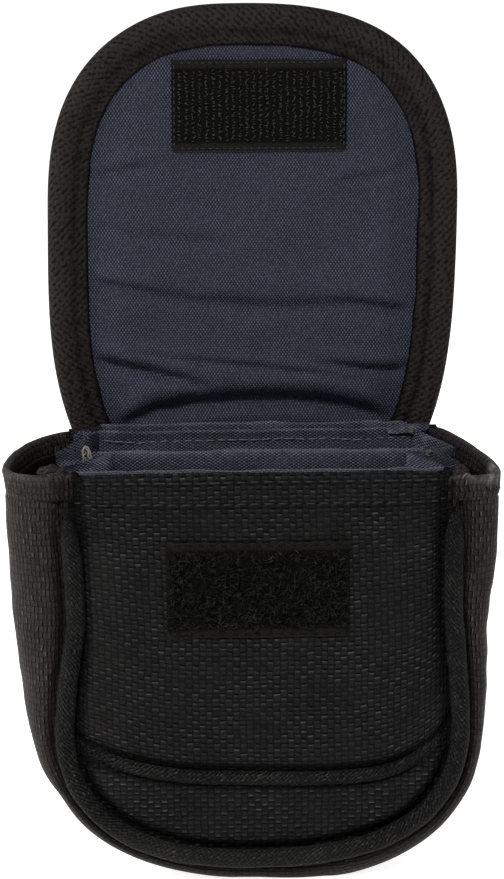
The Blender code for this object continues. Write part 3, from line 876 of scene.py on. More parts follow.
def front_surface(x, z):
    """Depth of the front fabric: a shallow pillow, pulled in at the seams, stitches and welt."""
    edge = edge_distance(x, z)
    low = ease(0.112, 0.098, z)
    y = front_face + 0.0031 * (1 - ease(0.0030, 0.0072, edge)) ** 1.4
    y -= 0.0009 * ease(0.005, 0.024, edge) * low
    for height in hem_stitch_heights:
        y += 0.00038 * hump(z - height, 0.0009)
    y -= 0.00025 * hump(z - mix(*hem_stitch_heights, 0.5), 0.0016)
    off = z - welt_z(x)
    y += 0.0021 * hump(off - 0.0012, 0.0021) + 0.0012 * hump(off + 0.0018, 0.0014)
    y -= 0.0006 * hump(off - 0.0075, 0.0045)
    y += 0.00085 * drift(x, 0, z, 0.021, 2) * ease(0.004, 0.012, edge)
    y += 0.00022 * drift(x, 0, z, 0.008, 5) * ease(0.004, 0.012, edge)
    y -= 0.0005 * hump(z - 0.101 + 0.05 * abs(x), 0.006) * hump(abs(x) - 0.036, 0.010)
    return min(y, front_face + 0.0034)


def make_front_upper():
    roll = 0.00155
    inner = front_face + 2 * roll
    columns = 80
    hem = spread(-0.0478, 0.0478, columns)
    rows = [[(x, inner + 0.0001, z) for x in hem] for z in (0.1062, 0.1082, 0.1098)]
    for angle in spread(0, math.pi, 8):
        row = []
        for x in spread(-0.0484, 0.0484, columns):
            sag = 0.00045 * drift(x, 0, 0, 0.016, 8) - 0.0005 * (abs(x) / 0.048) ** 6
            top = front_rim_height - roll + roll * math.sin(angle) + sag * math.sin(angle)
            surface = front_surface(x, front_rim_height - roll)
            row.append((x, mix(surface, inner, (1 + math.cos(angle)) / 2), top))
        rows.append(row)
    for share in spread(0, 1, 90)[1:]:
        row = []
        for column in range(columns + 1):
            across = column / columns
            z = mix(front_rim_height - roll, welt_middle_height, share)
            for _ in range(3):
                x = mix(side_x(-1, z, cloth_inset), side_x(1, z, cloth_inset), across)
                z = mix(front_rim_height - roll, welt_z(x), share)
            row.append((x, front_surface(x, z), z))
        rows.append(row)
    piece = grid_piece("front_panel_upper", rows, ballistic, facing(0, -1, 0.1), thickness=outer_thickness,
                       painted_light_and_wear=front_painted_light)
    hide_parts("front_panel_upper", "front_foam")
    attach(piece, "pouch")


def share_at_height(side, height):
    """Share of the seam's length at which one side passes a height."""
    low, high = (0, 0.5) if side < 0 else (1, 0.5)
    for _ in range(40):
        middle = (low + high) / 2
        if seam_at(middle, 0)[1] > height:
            low = middle
        else:
            high = middle
    return (low + high) / 2


def make_front_lower():
    ends = [share_at_height(side, welt_z(side * 0.0484)) for side in (-1, 1)]
    rows = []
    columns = 96
    for share in spread(0, 1, 30):
        row = []
        for column in range(columns + 1):
            across = column / columns
            low_x, low_z = seam_at(mix(*ends, across), -cloth_inset, sway=1)
            high_x = mix(side_x(-1, 0.0400, cloth_inset), side_x(1, 0.0412, cloth_inset),
                         0.5 - 0.5 * math.cos(math.pi * across))
            high_z = welt_z(high_x)
            x = mix(high_x, low_x, share)
            z = mix(high_z, low_z, share)
            row.append((x, front_surface(x, z), z))
        rows.append(row)
    piece = grid_piece("front_panel_lower", rows, ballistic, facing(0, -1, 0), thickness=outer_thickness,
                       lengths=flat_lengths(rows), painted_light_and_wear=front_painted_light)
    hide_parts("front_panel_lower")
    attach(piece, "pouch")


def make_welt():
    path = []
    for x in spread(side_x(-1, 0.0395, 0.0030), side_x(1, 0.0408, 0.0030), 90):
        z = welt_z(x) + 0.0002 * drift(x, 0, 0, 0.01, 4)
        y = min(front_surface(x, z + 0.0042), front_surface(x, z - 0.0036)) + 0.0006
        y += 0.0022 * ease(0.036, 0.047, abs(x))
        path.append((Vector((x, y, z)), Vector((0, 0, 1)), Vector((0, -1, 0))))
    piece = tube("front_welt", path, 0.0019, piping_cloth, sides=14, squash=0.62, taper=0.4,
                 painted_light_and_wear=lambda point: 0.0, seed=1, rough=0.05)
    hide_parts("front_welt")
    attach(piece, "pouch")


def piping_patches(point):
    # Random darker and paler patches, and paler towards the bottom
    return 0.06 * drift(*point, 0.02, 9) - 0.04 + 0.09 * ease(0.034, 0.008, point.z)


def make_piping(name, depth, top, taper):
    """Cord in its cover, tapered at both tops; the front one follows the seam's sway."""
    path = []
    sway = 1 if depth < 0 else 0
    for share in spread(share_at_height(-1, top), share_at_height(1, top), 300):
        x, z = seam_at(share, 0.0, sway=sway)
        near = seam_at(share, -0.001, sway=sway)
        out = Vector((x - near[0], 0, z - near[1])).normalized()
        wave = 0.00025 * drift(x, depth, z, 0.013, 3)
        shift = piping_radius - cord_radius + 0.0002 + 0.00025 * drift(x, depth, z, 0.02, 6)
        path.append((Vector((x, depth + wave, z)) + out * shift, out, Vector((0, 1, 0))))
    piece = tube(name, path, cord_radius, piping_cloth, sides=18, squash=0.90, taper=taper, painted_light_and_wear=piping_patches,
                 seed=2, rough=0.07)
    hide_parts(name)
    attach(piece, "pouch")


# Gusset

def gusset_point(share, turn, inward=0.0, lift=0.0):
    """A point of the gusset: share along the seam, turn from 0 at the front seam to 1 at the back."""
    side = -1 if share < 0.5 else 1
    bottom = 1 - abs(2 * share - 1)
    bulge = rim_bulge * table_value(bulge_shares[side], bottom)
    peak = mix(rim_peak_shares[side], bottom_peak_share, bottom)
    rear_power = mix(rim_rear_powers[side], bottom_rear_power, bottom)
    angle = math.pi * turn
    along = -math.cos(angle)
    power = gusset_front_power if along < 0 else rear_power
    reach = abs(along) ** (2 / power)
    height = abs(math.sin(angle)) ** (2 / power)
    depth_share = peak * (1 - reach) if along < 0 else mix(peak, 1, reach)
    depth = mix(gusset_front, gusset_back, depth_share)
    top = mix(gusset_front_rim, gusset_back_rim, depth_share)
    top -= rim_sags[side] * (1 - depth_share) + 0.0004 * drift(depth, side, 0, 0.009, 15) * height
    sway = ease(0.42, 0.0, turn)
    x, z = seam_at(share, bulge * height, top, sway)
    drop = top - z
    wall = ease(0.010, 0.030, z)
    dent = 0.0011 * drift(side, depth * 0.7, z, 0.019, 11) + 0.00045 * drift(side, depth, z, 0.007, 12)
    hem = 0.00015 * ease(0.0078, 0.0058, drop) - 0.00035 * hump(drop - 0.0067, 0.0008)
    pucker = 0.00030 * drift(side * 3, depth, z, 0.0035, 13) * ease(0.012, 0.004, drop)
    hem -= 0.0004 * hump(drop - 0.0030, 0.0006) + pucker
    shift = (dent * wall * math.sin(angle) + hem * min(1, height * 1.5)) if 0 < turn < 1 else 0
    if along < 0:
        top_share = ease(0.098, 0.103, z)
        valley = hump(bulge * height - mix(0.0024, 0.0006, top_share), mix(0.0012, 0.0018, top_share))
        depth += 0.0021 * valley * ease(0, 0.001, bulge * height)
    x, z = seam_at(share, bulge * height - inward + shift, top, sway)
    return Vector((x, depth, max(z, inward) + lift))


def gusset_light_and_wear(point):
    """Pale rim and most proud line, partly rubbed and partly painted highlight, paler low on the right, pale
    frayed specks at the right rim, and painted shade beside the front seam.
    """
    depth_share = (point.y - gusset_front) / (gusset_back - gusset_front)
    side = -1 if point.x < 0 else 1
    top = mix(gusset_front_rim, gusset_back_rim, depth_share) - rim_sags[side] * (1 - depth_share)
    rim = hump(point.z - top, 0.0014)
    front = hump(point.y + 0.0165, 0.0028) * (1 if point.x > 0 else 0.35)
    proud = ease(0.0570, 0.0650, abs(point.x)) * ease(0.02, 0.09, point.z)
    patch = 0.5 + 0.5 * drift(*point, 0.0022, 21)
    low = 0.05 * ease(0.062, 0.022, point.z) * ease(0.0, 0.02, point.x)
    pale = low + max(0, rim * (0.20 * patch + 0.7 * front * patch) + 0.10 * proud * patch)
    speck = ease(0.05, 0.35, drift(*point, 0.0016, 22))
    frayed = speck * hump(point.x - 0.0605, 0.0034) * hump(point.z - top + 0.0008, 0.0020)
    pale += frayed * ease(0.0, -0.008, point.y)
    # Painted shade in a band beside the front seam
    beside = 1 - ease(0.0018, 0.0046, -edge_distance(point.x, point.z))
    return pale - 0.50 * beside * ease(-0.012, -0.016, point.y) * (1 - 0.8 * rim)


def make_gusset():
    turns = [0.5 - 0.5 * math.cos(math.pi * step / 30) for step in range(31)]
    roll = 0.0010
    hem = [(drop / seam_length, 2 * roll, 0) for drop in spread(0.0065, roll, 3)[:-1]]
    for angle in spread(0, math.pi, 6)[:-1]:
        hem.append((roll / seam_length, roll * (1 + math.cos(angle)), roll * math.sin(angle)))
    hem += [(drop / seam_length, 0, 0) for drop in (roll, 0.0021, 0.0040, *spread(0.0056, 0.0080, 4))]
    middle = [(share, 0, 0) for share in spread(0.0100 / seam_length, 1 - 0.0100 / seam_length, 220)]
    stations = hem + middle + [(1 - share, inward, lift) for share, inward, lift in hem[::-1]]
    rows = [[gusset_point(share, turn, inward, lift) for turn in turns] for share, inward, lift in stations]
    piece = grid_piece("gusset", rows, side_nylon, from_middle, thickness=0.0008, painted_light_and_wear=gusset_light_and_wear, sharp=60)
    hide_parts("gusset")
    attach(piece, "pouch")
    low = 0.0052 / seam_length
    rows = []
    for share in spread(low, 1 - low, 120):
        row = [(turn, gusset_point(share, turn, 0.0026)) for turn in turns[::2]]
        rows.append([point + Vector((0, 0.0032 * ease(0.5, 0.1, turn), 0)) for turn, point in row])
    lining = grid_piece("gusset_lining", rows, black_cloth, from_middle, thickness=0.0004)
    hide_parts("gusset_lining")
    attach(lining, "pouch")


# Concertina

# Per sheet: depth at the rim, depth below, rim height, inset of its edge at the left and the right rim
sheets = {
    "front_wall": (-0.0174, -0.0174, 0.1122, 0.0016, 0.0016),
    "divider_front": (-0.0092, -0.0088, 0.1152, 0.0112, 0.0072),
    "divider_middle": (0.0042, 0.0000, 0.1174, 0.0084, 0.0088),
    "divider_rear": (0.0100, 0.0088, 0.1178, 0.0092, 0.0112),
    "back_wall": (0.0174, 0.0174, 0.1150, 0.0030, 0.0030),
}
sheet_order = tuple(sheets)
divider_inset = 0.0085


def sheet_edge(name, share):
    """The edge of a pocket sheet at a share of the seam, as a point."""
    depth_top, depth_low, top, left_inset, right_inset = sheets[name]
    x, z = seam_at(share, 0, top)
    rim = ease(0.072, 0.110, z)
    rim_inset = left_inset if share < 0.5 else right_inset
    body_inset = divider_inset if name.startswith("divider") else rim_inset
    inset = mix(body_inset, rim_inset, rim)
    x, z = seam_at(share, -inset, top)
    lean = 0.0036 * hump(z - 0.1045, 0.0062) if name == "divider_front" else 0
    return Vector((x, mix(depth_low, depth_top, rim) - lean, z))


def sheet_rows(name, rows=46, columns=60):
    made = []
    seed = sheet_order.index(name) + 30
    for share in spread(0, 0.492, rows):
        left = sheet_edge(name, share)
        right = sheet_edge(name, 1 - share)
        row = []
        for across in spread(0, 1, columns):
            point = left.lerp(right, across)
            middle = math.sin(math.pi * across)
            point.y += (0.0011 * drift(point.x, 0, point.z, 0.020, seed)
                        + 0.0004 * drift(point.x, 0, point.z, 0.008, seed + 5)) * middle
            rim = ease(0.09, 0.114, point.z)
            end = (hump(across, 0.15) + hump(1 - across, 0.15)) * min(1, 12 * across, 12 * (1 - across))
            point.y += 0.0013 * end * rim * drift(point.x, 0, point.z, 0.0044, seed + 11)
            point.z += 0.0007 * drift(point.x, 0, 0, 0.011, seed + 9) * middle ** 0.5 * rim
            point.z += 0.0011 * end * rim * drift(point.x, 0, 0, 0.0046, seed + 13)
            row.append(point)
        made.append(row)
    return made


def rolled(rows, radius, hem):
    """Add a hem that turns over the rim of a sheet and comes down its back."""
    top = rows[0]
    back = []
    for drop in spread(hem, 0, 4)[:-1]:
        back.append([Vector((p.x, p.y + 2 * radius, p.z - radius - drop)) for p in top])
    over = []
    for angle in spread(0, math.pi, 6):
        round_y, round_z = radius * math.cos(angle), radius * math.sin(angle)
        over.append([Vector((p.x, p.y + radius + round_y, p.z - radius + round_z)) for p in top])
    kept = [row for row in rows[1:] if row[0].z < top[0].z - radius - 0.0004]
    return back + over + kept


# Per divider: how dark its hem's stitched line and the cloth below it are
rim_shades = {"divider_front": (0.0, 0.80), "divider_middle": (0.72, -0.08), "divider_rear": (0.30, 0.25)}


def sheet_painted_light(name):
    """Painted highlight on the rim, painted shade along the hem's stitched line, and painted shade below,
    which a negative value turns into painted light.
    """
    top = sheets[name][2]
    line, low = rim_shades[name]

    def painted_light_and_wear(point):
        drop = top - point.z
        patch = 0.5 + 0.6 * drift(*point, 0.0024, 33)
        pale = 0.22 * ease(0.0016, 0.0002, drop) * (0.35 + patch)
        return pale - line * hump(drop - 0.0013, 0.0007) - low * ease(0.0005, 0.0085, drop)

    return painted_light_and_wear


def pleat_painted_light(point):
    """Painted highlights where the pleats' folds stand up and along their top, pale frayed specks at the left
    end, random darker patches, and painted shade in the folds, in the valleys beside the sheets and low in
    the pockets.
    """
    patch = 0.5 + 0.7 * drift(*point, 0.0020, 34)
    fold = drift(point.x * 0.6, point.y * 1.6, point.z * 1.3, 0.0042, 36)
    pale = 0.20 * ease(0.1125, 0.1150, point.z) * patch + 0.14 * ease(0.10, 0.45, fold)
    speck = ease(0.05, 0.35, drift(*point, 0.0013, 37))
    pale += 0.7 * speck * hump(point.x + 0.0530, 0.0014) * ease(0.106, 0.110, point.z)
    dark = 0.55 * ease(-0.02, -0.30, fold) + 0.15 * ease(0.45, 0.9, 1 - patch)
    valley = max(hump(point.y - sheets[name][0] - 0.0004, 0.0011) for name in sheet_order[1:4])
    dark += 0.55 * valley * ease(0.106, 0.110, point.z) * ease(0.0400, 0.0440, abs(point.x))
    return pale - 0.40 * ease(0.1110, 0.1020, point.z) - min(0.8, dark)


def make_dividers():
    for name, radius, hem in (("divider_front", 0.0008, 0.0070), ("divider_middle", 0.0007, 0.0080),
                              ("divider_rear", 0.0006, 0.0060)):
        rows = rolled(sheet_rows(name), radius, hem)
        piece = grid_piece(name, rows, pocket_cloth, facing(0, -1, 0), thickness=thin_thickness,
                           painted_light_and_wear=sheet_painted_light(name))
        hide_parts(name)
        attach(piece, "pouch")


def make_wall_linings():
    rows = sheet_rows("front_wall")
    # Painted highlight along the top edge of the front lining
    piece = grid_piece("front_lining", rows, pocket_cloth, facing(0, 1, 0), thickness=thin_thickness,
                       painted_light_and_wear=lambda point: 0.40 * ease(0.1112, 0.1120, point.z))
    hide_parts("front_lining")
    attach(piece, "pouch")
    rows = sheet_rows("back_wall")
    piece = grid_piece("back_lining", rows, pocket_cloth, facing(0, -1, 0), thickness=thin_thickness)
    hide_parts("back_lining")
    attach(piece, "pouch")


def pleat_point(near, far, share, turn, tip_rise, reaches):
    """A point on a folded strip between two sheets: turn is 0.5 at its fold and 0 and 1 at its edges."""
    first = sheet_edge(near, share)
    last = sheet_edge(far, share)
    rim = ease(0.085, 0.110, seam_at(share, 0)[1])
    x, z = seam_at(share, mix(-0.0016, reaches[0 if share < 0.5 else 1], rim), front_rim_height + tip_rise)
    tip = Vector((x, (first.y + last.y) / 2 + 0.0006 * drift(0, 0, z, 0.02, 14), z))
    if turn < 0.5:
        point = first.lerp(tip, turn * 2)
    else:
        point = last.lerp(tip, 2 - turn * 2)
    fold = hump(turn - 0.5, 0.16)
    middle = first.lerp(last, turn)
    point = point.lerp(middle, 0.10 * fold)
    point.y += math.sin(math.pi * turn * 2) * 0.0009
    loose = math.sin(math.pi * turn)
    crumple = 0.0010 * rim * loose
    point.x += crumple * drift(point.x, point.y * 1.5, z, 0.0055, 16 + x)
    point.y += (0.0005 * loose + crumple) * drift(x, point.y * 1.5, z, 0.0062, 17)
    point.z += 0.0009 * drift(x * 9, point.y * 1.3, 0, 0.0046, 18) * loose
    return point


# Each pleat with the sheets that it joins, how far its fold stands above the front rim, its width laid flat,
# and how far its fold reaches out at the left and the right rim
pleats = (
    ("pleat_front", "front_wall", "divider_front", 0.0002, 0.0136, (0.0026, 0.0026)),
    ("pleat_mid_front", "divider_front", "divider_middle", 0.0018, 0.0179, (0.0034, 0.0020)),
    ("pleat_mid_rear", "divider_middle", "divider_rear", 0.0036, 0.0167, (-0.0014, -0.0012)),
    ("pleat_rear", "divider_rear", "back_wall", 0.0026, 0.0132, (-0.0052, -0.0048)),
)


def make_pleats():
    for name, near, far, rise, width, reaches in pleats:
        shares = spread(0, 0.06, 26) + spread(0.06, 0.94, 110)[1:-1] + spread(0.94, 1, 26)
        turns = spread(0, 1, 26)
        rows = [[pleat_point(near, far, share, turn, rise, reaches) for turn in turns] for share in shares]
        piece = grid_piece(name, rows, pocket_cloth, from_middle, thickness=thin_thickness, painted_light_and_wear=pleat_painted_light)
        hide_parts(name)
        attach(piece, "pouch")


# Back wall

def back_surface(x, z):
    edge = edge_distance(x, z)
    y = back_face - 0.0026 * (1 - ease(0.0012, 0.0066, edge)) ** 1.5 * ease(0.112, 0.102, z)
    y += 0.0009 * ease(0.004, 0.024, edge)
    y += 0.00035 * drift(x, 1, z, 0.02, 41) * ease(0.002, 0.010, edge)
    y += 0.00014 * drift(x, 1, z, 0.007, 42)
    return y


def flap_half_at(height):
    if height <= flap_arch_z:
        share = (flap_arch_z - height) / (flap_arch_z - front_rim_height)
        return flap_half_width - flap_narrowing * share ** flap_narrowing_power
    share = min(1, (height - flap_arch_z) / flap_arch_height)
    return flap_half_width * (1 - share ** flap_arch_power) ** (1 / flap_arch_power)


def flap_lean(height):
    """Sideways lean of the open flap: its root and its very tip sit a little to the left."""
    return -0.0006 * ease(0.185, 0.125, height) - 0.0026 * math.exp(-(flap_tip_z - height) / 0.0032)


back_panel_top = 0.1140


def make_back():
    rows = []
    for share in spread(0, 0.494, 64):
        left = seam_at(share, -0.0008, back_panel_top)
        right = seam_at(1 - share, -0.0008, back_panel_top)
        rows.append([(x, back_surface(x, z), z) for x, z in between(left, right, spread(0, 1, 76))])
    piece = grid_piece("back_panel", rows, ballistic, facing(0, 1, 0), thickness=0.0030)
    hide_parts("back_panel", "back_foam")
    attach(piece, "pouch")


# Flap

def crease(x, z, points, width, depth, swell):
    """A wrinkle: a soft swell that drops into a valley along a line of points."""
    first, last = points[0][0], points[-1][0]
    fade = ease(first - 0.004, first + 0.007, x) * ease(last + 0.004, last - 0.007, x)
    if fade == 0:
        return 0
    line = points[0][1]
    for near, far in zip(points, points[1:]):
        if x >= near[0]:
            share = min(1, (x - near[0]) / (far[0] - near[0]))
            line = mix(near[1], far[1], share * share * (3 - 2 * share) * 0.5 + share * 0.5)
    off = z - line + 0.0006 * drift(x, 0, line, 0.012, 49)
    size = 1 + 0.35 * drift(x, 0, line, 0.009, 48)
    raised = swell * hump(off - 1.3 * width, 1.9 * width)
    return fade * size * (raised - depth * hump(off + 1.1 * width, width))


# Points along each wrinkle, its width, the depth of its valley and the height of its swell
flap_wrinkles = (
    (((-0.0430, 0.1838), (-0.0348, 0.1851), (-0.0250, 0.1868)), 0.0012, 0.0008, 0.0005),
    (((0.0200, 0.1814), (0.0317, 0.1832), (0.0430, 0.1862)), 0.0012, 0.0008, 0.0005),
    (((-0.0430, 0.1710), (-0.0246, 0.1678), (-0.0062, 0.1666)), 0.0016, 0.0005, 0.0003),
    (((-0.0435, 0.1555), (-0.0380, 0.1548), (-0.0252, 0.1530), (-0.0115, 0.1510), (0.0037, 0.1497),
      (0.0238, 0.1497), (0.0334, 0.1488), (0.0420, 0.1472)), 0.0021, 0.0012, 0.0008),
    (((-0.0440, 0.1558), (-0.0350, 0.1546), (-0.0240, 0.1529)), 0.0009, 0.0006, 0.0003),
    (((0.0220, 0.1497), (0.0334, 0.1488), (0.0420, 0.1472)), 0.0010, 0.0006, 0.0003),
    (((-0.0440, 0.1358), (-0.0385, 0.1342), (-0.0301, 0.1328), (-0.0209, 0.1308), (-0.0130, 0.1287)),
     0.0015, 0.0017, 0.0012),
    (((-0.0320, 0.1369), (-0.0142, 0.1345), (0.0104, 0.1313), (0.0310, 0.1287)), 0.0008, 0.0005, 0.0006),
    (((0.0170, 0.1336), (0.0295, 0.1321), (0.0430, 0.1315)), 0.0013, 0.0015, 0.0009),
    (((-0.0345, 0.1185), (-0.0313, 0.1201), (-0.0249, 0.1225), (-0.0153, 0.1243), (-0.0068, 0.1250),
      (0.0014, 0.1251), (0.0150, 0.1244), (0.0229, 0.1232), (0.0286, 0.1218), (0.0347, 0.1193)),
     0.0023, 0.0030, 0.0017),
)


def flap_relief(x, z):
    """How far the flap's lining stands toward the front, with its wrinkles."""
    inside = flap_half_at(min(z, 0.2245)) - binding_width - abs(x - flap_lean(z))
    tip = ease(flap_tip_z - binding_width, flap_tip_z - binding_width - 0.012, z)
    edge = ease(-0.001, 0.010, inside) * tip
    relief = 0.0016 * edge + 0.0006 * ease(0.175, 0.150, z) * edge
    for points, width, depth, swell in flap_wrinkles:
        relief += crease(x, z, points, width, depth, swell) * ease(-0.002, 0.004, inside)
    relief += 0.00085 * drift(x, 0, z * 1.6, 0.026, 50) * edge
    relief += 0.00034 * drift(x, 0, z * 2.0, 0.011, 51) * edge
    return max(relief, -0.0009)


flap_row_step = 0.00065


def flap_field_rows(low, high, depth, sign):
    """Rows across the flap's field, between its bindings."""
    inset = binding_width - 0.0012
    straight = min(high, flap_arch_z)
    heights = spread(low, straight, round((straight - low) / flap_row_step))
    if high > flap_arch_z:
        reach = flap_tip_z - inset - flap_arch_z
        heights += [flap_arch_z + reach * math.sin(angle) for angle in spread(0, 1.50, 80)[1:]]
    made = []
    for z in heights:
        if z <= flap_arch_z:
            half = flap_half_at(z) - inset
        else:
            share = (z - flap_arch_z) / (flap_arch_height - inset)
            half = (flap_half_width - inset) * max(0, 1 - share ** flap_arch_power) ** (1 / flap_arch_power)
        row = []
        for across in spread(-1, 1, 110):
            x = across * half + flap_lean(z)
            y = fold_y + depth - sign * flap_relief(x, z)
            row.append((x, y, z))
        made.append(row)
    return made


def blend_lower(piece):
    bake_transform(piece)


def blend_upper(piece):
    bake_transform(piece)


def flap_lining(name, low, high):
    rows = flap_field_rows(low, high, -0.0018, 1)
    return grid_piece(name, rows, grey_cloth, facing(0, -1, 0), thickness=0.0006, lengths=flat_lengths(rows))


def flap_outer(name, low, high):
    """The outer fabric, which shows the lining's wrinkles faintly."""
    rows = flap_field_rows(low, high, 0.0022, -0.35)
    return grid_piece(name, rows, ballistic, facing(0, 1, 0), thickness=outer_thickness,
                      lengths=flat_lengths(rows))


def make_flap_field():
    low = flap_lining("flap_bridge_lining", flap_root_z, split_z)
    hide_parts("flap_bridge_lining", "flap_bridge_foam")
    blend_lower(low)
    high = flap_lining("flap_cover_lining", split_z, flap_tip_z)
    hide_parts("flap_cover_lining")
    blend_upper(high)
    low = flap_outer("flap_bridge_outer", flap_root_z, split_z)
    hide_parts("flap_bridge_outer", "rear_fold")
    blend_lower(low)
    high = flap_outer("flap_cover_outer", split_z, flap_tip_z)
    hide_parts("flap_cover_outer", "flap_cover_foam", "front_fold")
    blend_upper(high)


def binding_section():
    """Half a section of the binding as (distance in, depth): round band, stitched crease, flat strip."""
    rise = 0.0037
    quarter = spread(0, math.pi / 2, 8)
    band = [(0.0030 * (1 - math.cos(angle)), rise * math.sin(angle) ** 0.85) for angle in quarter]
    strip = ((0.0042, 0.0001), (0.0054, -0.0002), (0.0061, -0.0004), (0.0066, -0.0007), (0.0070, -0.0007),
             (0.0077, -0.00055), (0.0088, -0.0007), (0.0098, -0.0009), (0.0104, -0.0013), (0.0106, -0.0019))
    return band + [(inward, rise + lift) for inward, lift in strip]


def edge_stations(low, high, side, steps):
    """Points up one side of the flap with their outward directions."""
    made = []
    for z in spread(low, high, steps):
        slope = (flap_half_at(z + 0.0005) - flap_half_at(z - 0.0005)) / 0.001
        length = math.hypot(1, slope)
        made.append((side * flap_half_at(z) + flap_lean(z), z, side / length, -slope / length))
    return made


def arch_stations(steps=150):
    made = []
    for angle in spread(0, math.pi, steps):
        across = abs(math.cos(angle)) ** (2 / flap_arch_power)
        up = abs(math.sin(angle)) ** (2 / flap_arch_power)
        out_x = across ** (flap_arch_power - 1) / flap_half_width
        out_z = up ** (flap_arch_power - 1) / flap_arch_height
        length = math.hypot(out_x, out_z)
        side = 1 if angle < math.pi / 2 else -1
        z = flap_arch_z + flap_arch_height * up
        x = side * flap_half_width * across + flap_lean(z)
        made.append((x, z, side * out_x / length, out_z / length))
    return made


def binding_rows(stations):
    section = binding_section()
    rows = []
    for x, z, out_x, out_z in stations:
        row = []
        for sign in (1, -1):
            half = section[::-1] if sign > 0 else section[1:]
            for inward, depth in half:
                band = inward < binding_band_width
                pucker = 0.00022 if band else 0.00030
                wave = pucker * drift(x, sign, z, 0.0045, 60 + band) + 0.00025 * drift(x, sign, z, 0.016, 62)
                lift = depth + wave * min(1, depth / 0.002)
                inner = inward - 0.0003 * drift(x, 0, z, 0.009, 64) * (1 if inward > 0.009 else 0)
                row.append((x - inner * out_x, fold_y - sign * lift, z - inner * out_z))
        rows.append(row)
    return rows


def binding_painted_light(point):
    """Painted highlight on the outer edge, painted shade in the stitched groove, dark nubs on the strip, and
    painted shadow at the inner edge.
    """
    edge = 1 - ease(0.0002, 0.0022, abs(point.y - fold_y))
    pale = 0.20 * edge * (0.6 + 0.4 * drift(*point, 0.01, 66))
    x = point.x - flap_lean(point.z)
    rise = point.z - flap_arch_z
    inward = flap_half_at(point.z) - abs(x)
    if rise > 0:
        inward = rounded_distance(x, rise, flap_half_width, flap_arch_height, flap_arch_power)
    rough = 0.5 + 0.9 * drift(*point, 0.0016, 67)
    groove = hump(inward - binding_band_width - 0.0004, 0.0009) * (0.35 + rough)
    nubs = 0.30 * ease(0.0050, 0.0066, inward) * rough
    return pale - min(0.9, 0.42 * groove + nubs + 0.8 * ease(0.0098, 0.0104, inward))


def binding_away(point):
    return Vector((point.x, (point.y - fold_y) * 8, 0))


def arch_away(point):
    """Away from the flap's middle plane first, and a little from its middle."""
    return Vector((point.x * 0.2, (point.y - fold_y) * 10, (point.z - flap_arch_z) * 0.2))


def round_arch(low):
    """Stations up the right side from a height, over the arch and down the left side."""
    right, left = (edge_stations(low, flap_arch_z, side, 34) for side in (1, -1))
    return right[:-1] + arch_stations() + left[-2::-1]


def make_binding():
    for side, name in ((-1, "flap_bridge_binding_left"), (1, "flap_bridge_binding_right")):
        rows = binding_rows(edge_stations(binding_root_z, split_z, side, 44))
        piece = grid_piece(name, rows, binding_cloth, binding_away, thickness=thin_thickness,
                           painted_light_and_wear=binding_painted_light)
        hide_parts(name)
        blend_lower(piece)
    rows = binding_rows(round_arch(split_z))
    piece = grid_piece("flap_cover_binding", rows, binding_cloth, arch_away, thickness=thin_thickness,
                       painted_light_and_wear=binding_painted_light)
    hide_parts("flap_cover_binding")
    blend_upper(piece)


# Tapes

def tape_base(name, surface, frame_box, field_rise, lumps, seed):
    """A woven tape on a surface that faces the front: flat selvedges and a thicker, lumpy field."""
    left, right, bottom, top = frame_box
    rows = []
    for z in spread(bottom, top, 60):
        row = []
        for x in spread(left, right, 100):
            edge = min(z - bottom, top - z) + 0.0003 * drift(x, 0, z, 0.004, seed)
            field = ease(tape_selvedge - 0.0004, tape_selvedge + 0.0004, edge)
            fray = min(x - left, right - x)
            rise = tape_thickness + field * field_rise + 0.0002 * hump(edge - 0.0004, 0.0003)
            rise += field * lumps * (drift(x, 0, z, 0.0022, seed + 1) + drift(x, 0, z, 0.006, seed + 2))
            rise *= 0.35 + 0.65 * ease(0, 0.0012, fray)
            row.append((x + 0.0002 * drift(x, 0, z, 0.003, seed + 3), surface(x, z) - rise,
                        z + 0.00035 * drift(x, 0, bottom, 0.014, seed + 4)))
        rows.append(row)

    def light_and_wear_marks(point):
        edge = min(point.z - bottom, top - point.z)
        pale = 0.26 * ease(tape_selvedge + 0.0002, tape_selvedge - 0.0006, edge)
        return pale - 0.5 * hump(edge - tape_selvedge, 0.0004)

    return grid_piece(name, rows, tape_cloth, facing(0, -1, 0), thickness=tape_thickness * 0.9,
                      lengths=flat_lengths(rows), painted_light_and_wear=light_and_wear_marks)


def lining_face(x, z):
    return fold_y - 0.0018 - flap_relief(x, z)


loop_tape_frame = (loop_tape_left, loop_tape_right, loop_tape_low, loop_tape_high)
hook_tape_frame = (hook_tape_left, hook_tape_right, hook_tape_low, hook_tape_high)


def make_loop_tape():
    base = tape_base("loop_tape", front_surface, loop_tape_frame, 0.0003, 0.00030, 70)
    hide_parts("loop_tape")
    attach(base, "pouch")
    left, right, low, high = loop_tape_frame
    chance = random.Random(7)
    points, aways, alongs = [], [], []
    for _ in range(3300):
        x = chance.uniform(left + 0.0008, right - 0.0008)
        z = chance.uniform(low + tape_selvedge, high - tape_selvedge)
        if chance.random() < 0.10 - 1.1 * drift(x, 0, z, 0.0040, 77):
            continue
        points.append(Vector((x, front_surface(x, z) - 0.0009, z)))
        aways.append(Vector((chance.uniform(-1.2, 1.2), -1, chance.uniform(-1.2, 1.2))))
        alongs.append(Vector((chance.uniform(-1, 1), 0, chance.uniform(-1, 1))))
    loops = pile("loop_tape_loops", points, aways, alongs, loop_nylon, Radius=0.00066, Start=-0.9, Sweep=4.9,
                 Segments=9, Sides=3, Thread_Radius=0.00010, Stand=0.00020, Wobble=(0.7, 0.7, 0.9),
                 Size_Spread=0.45, Seed=5)
    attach(loops, "pouch")


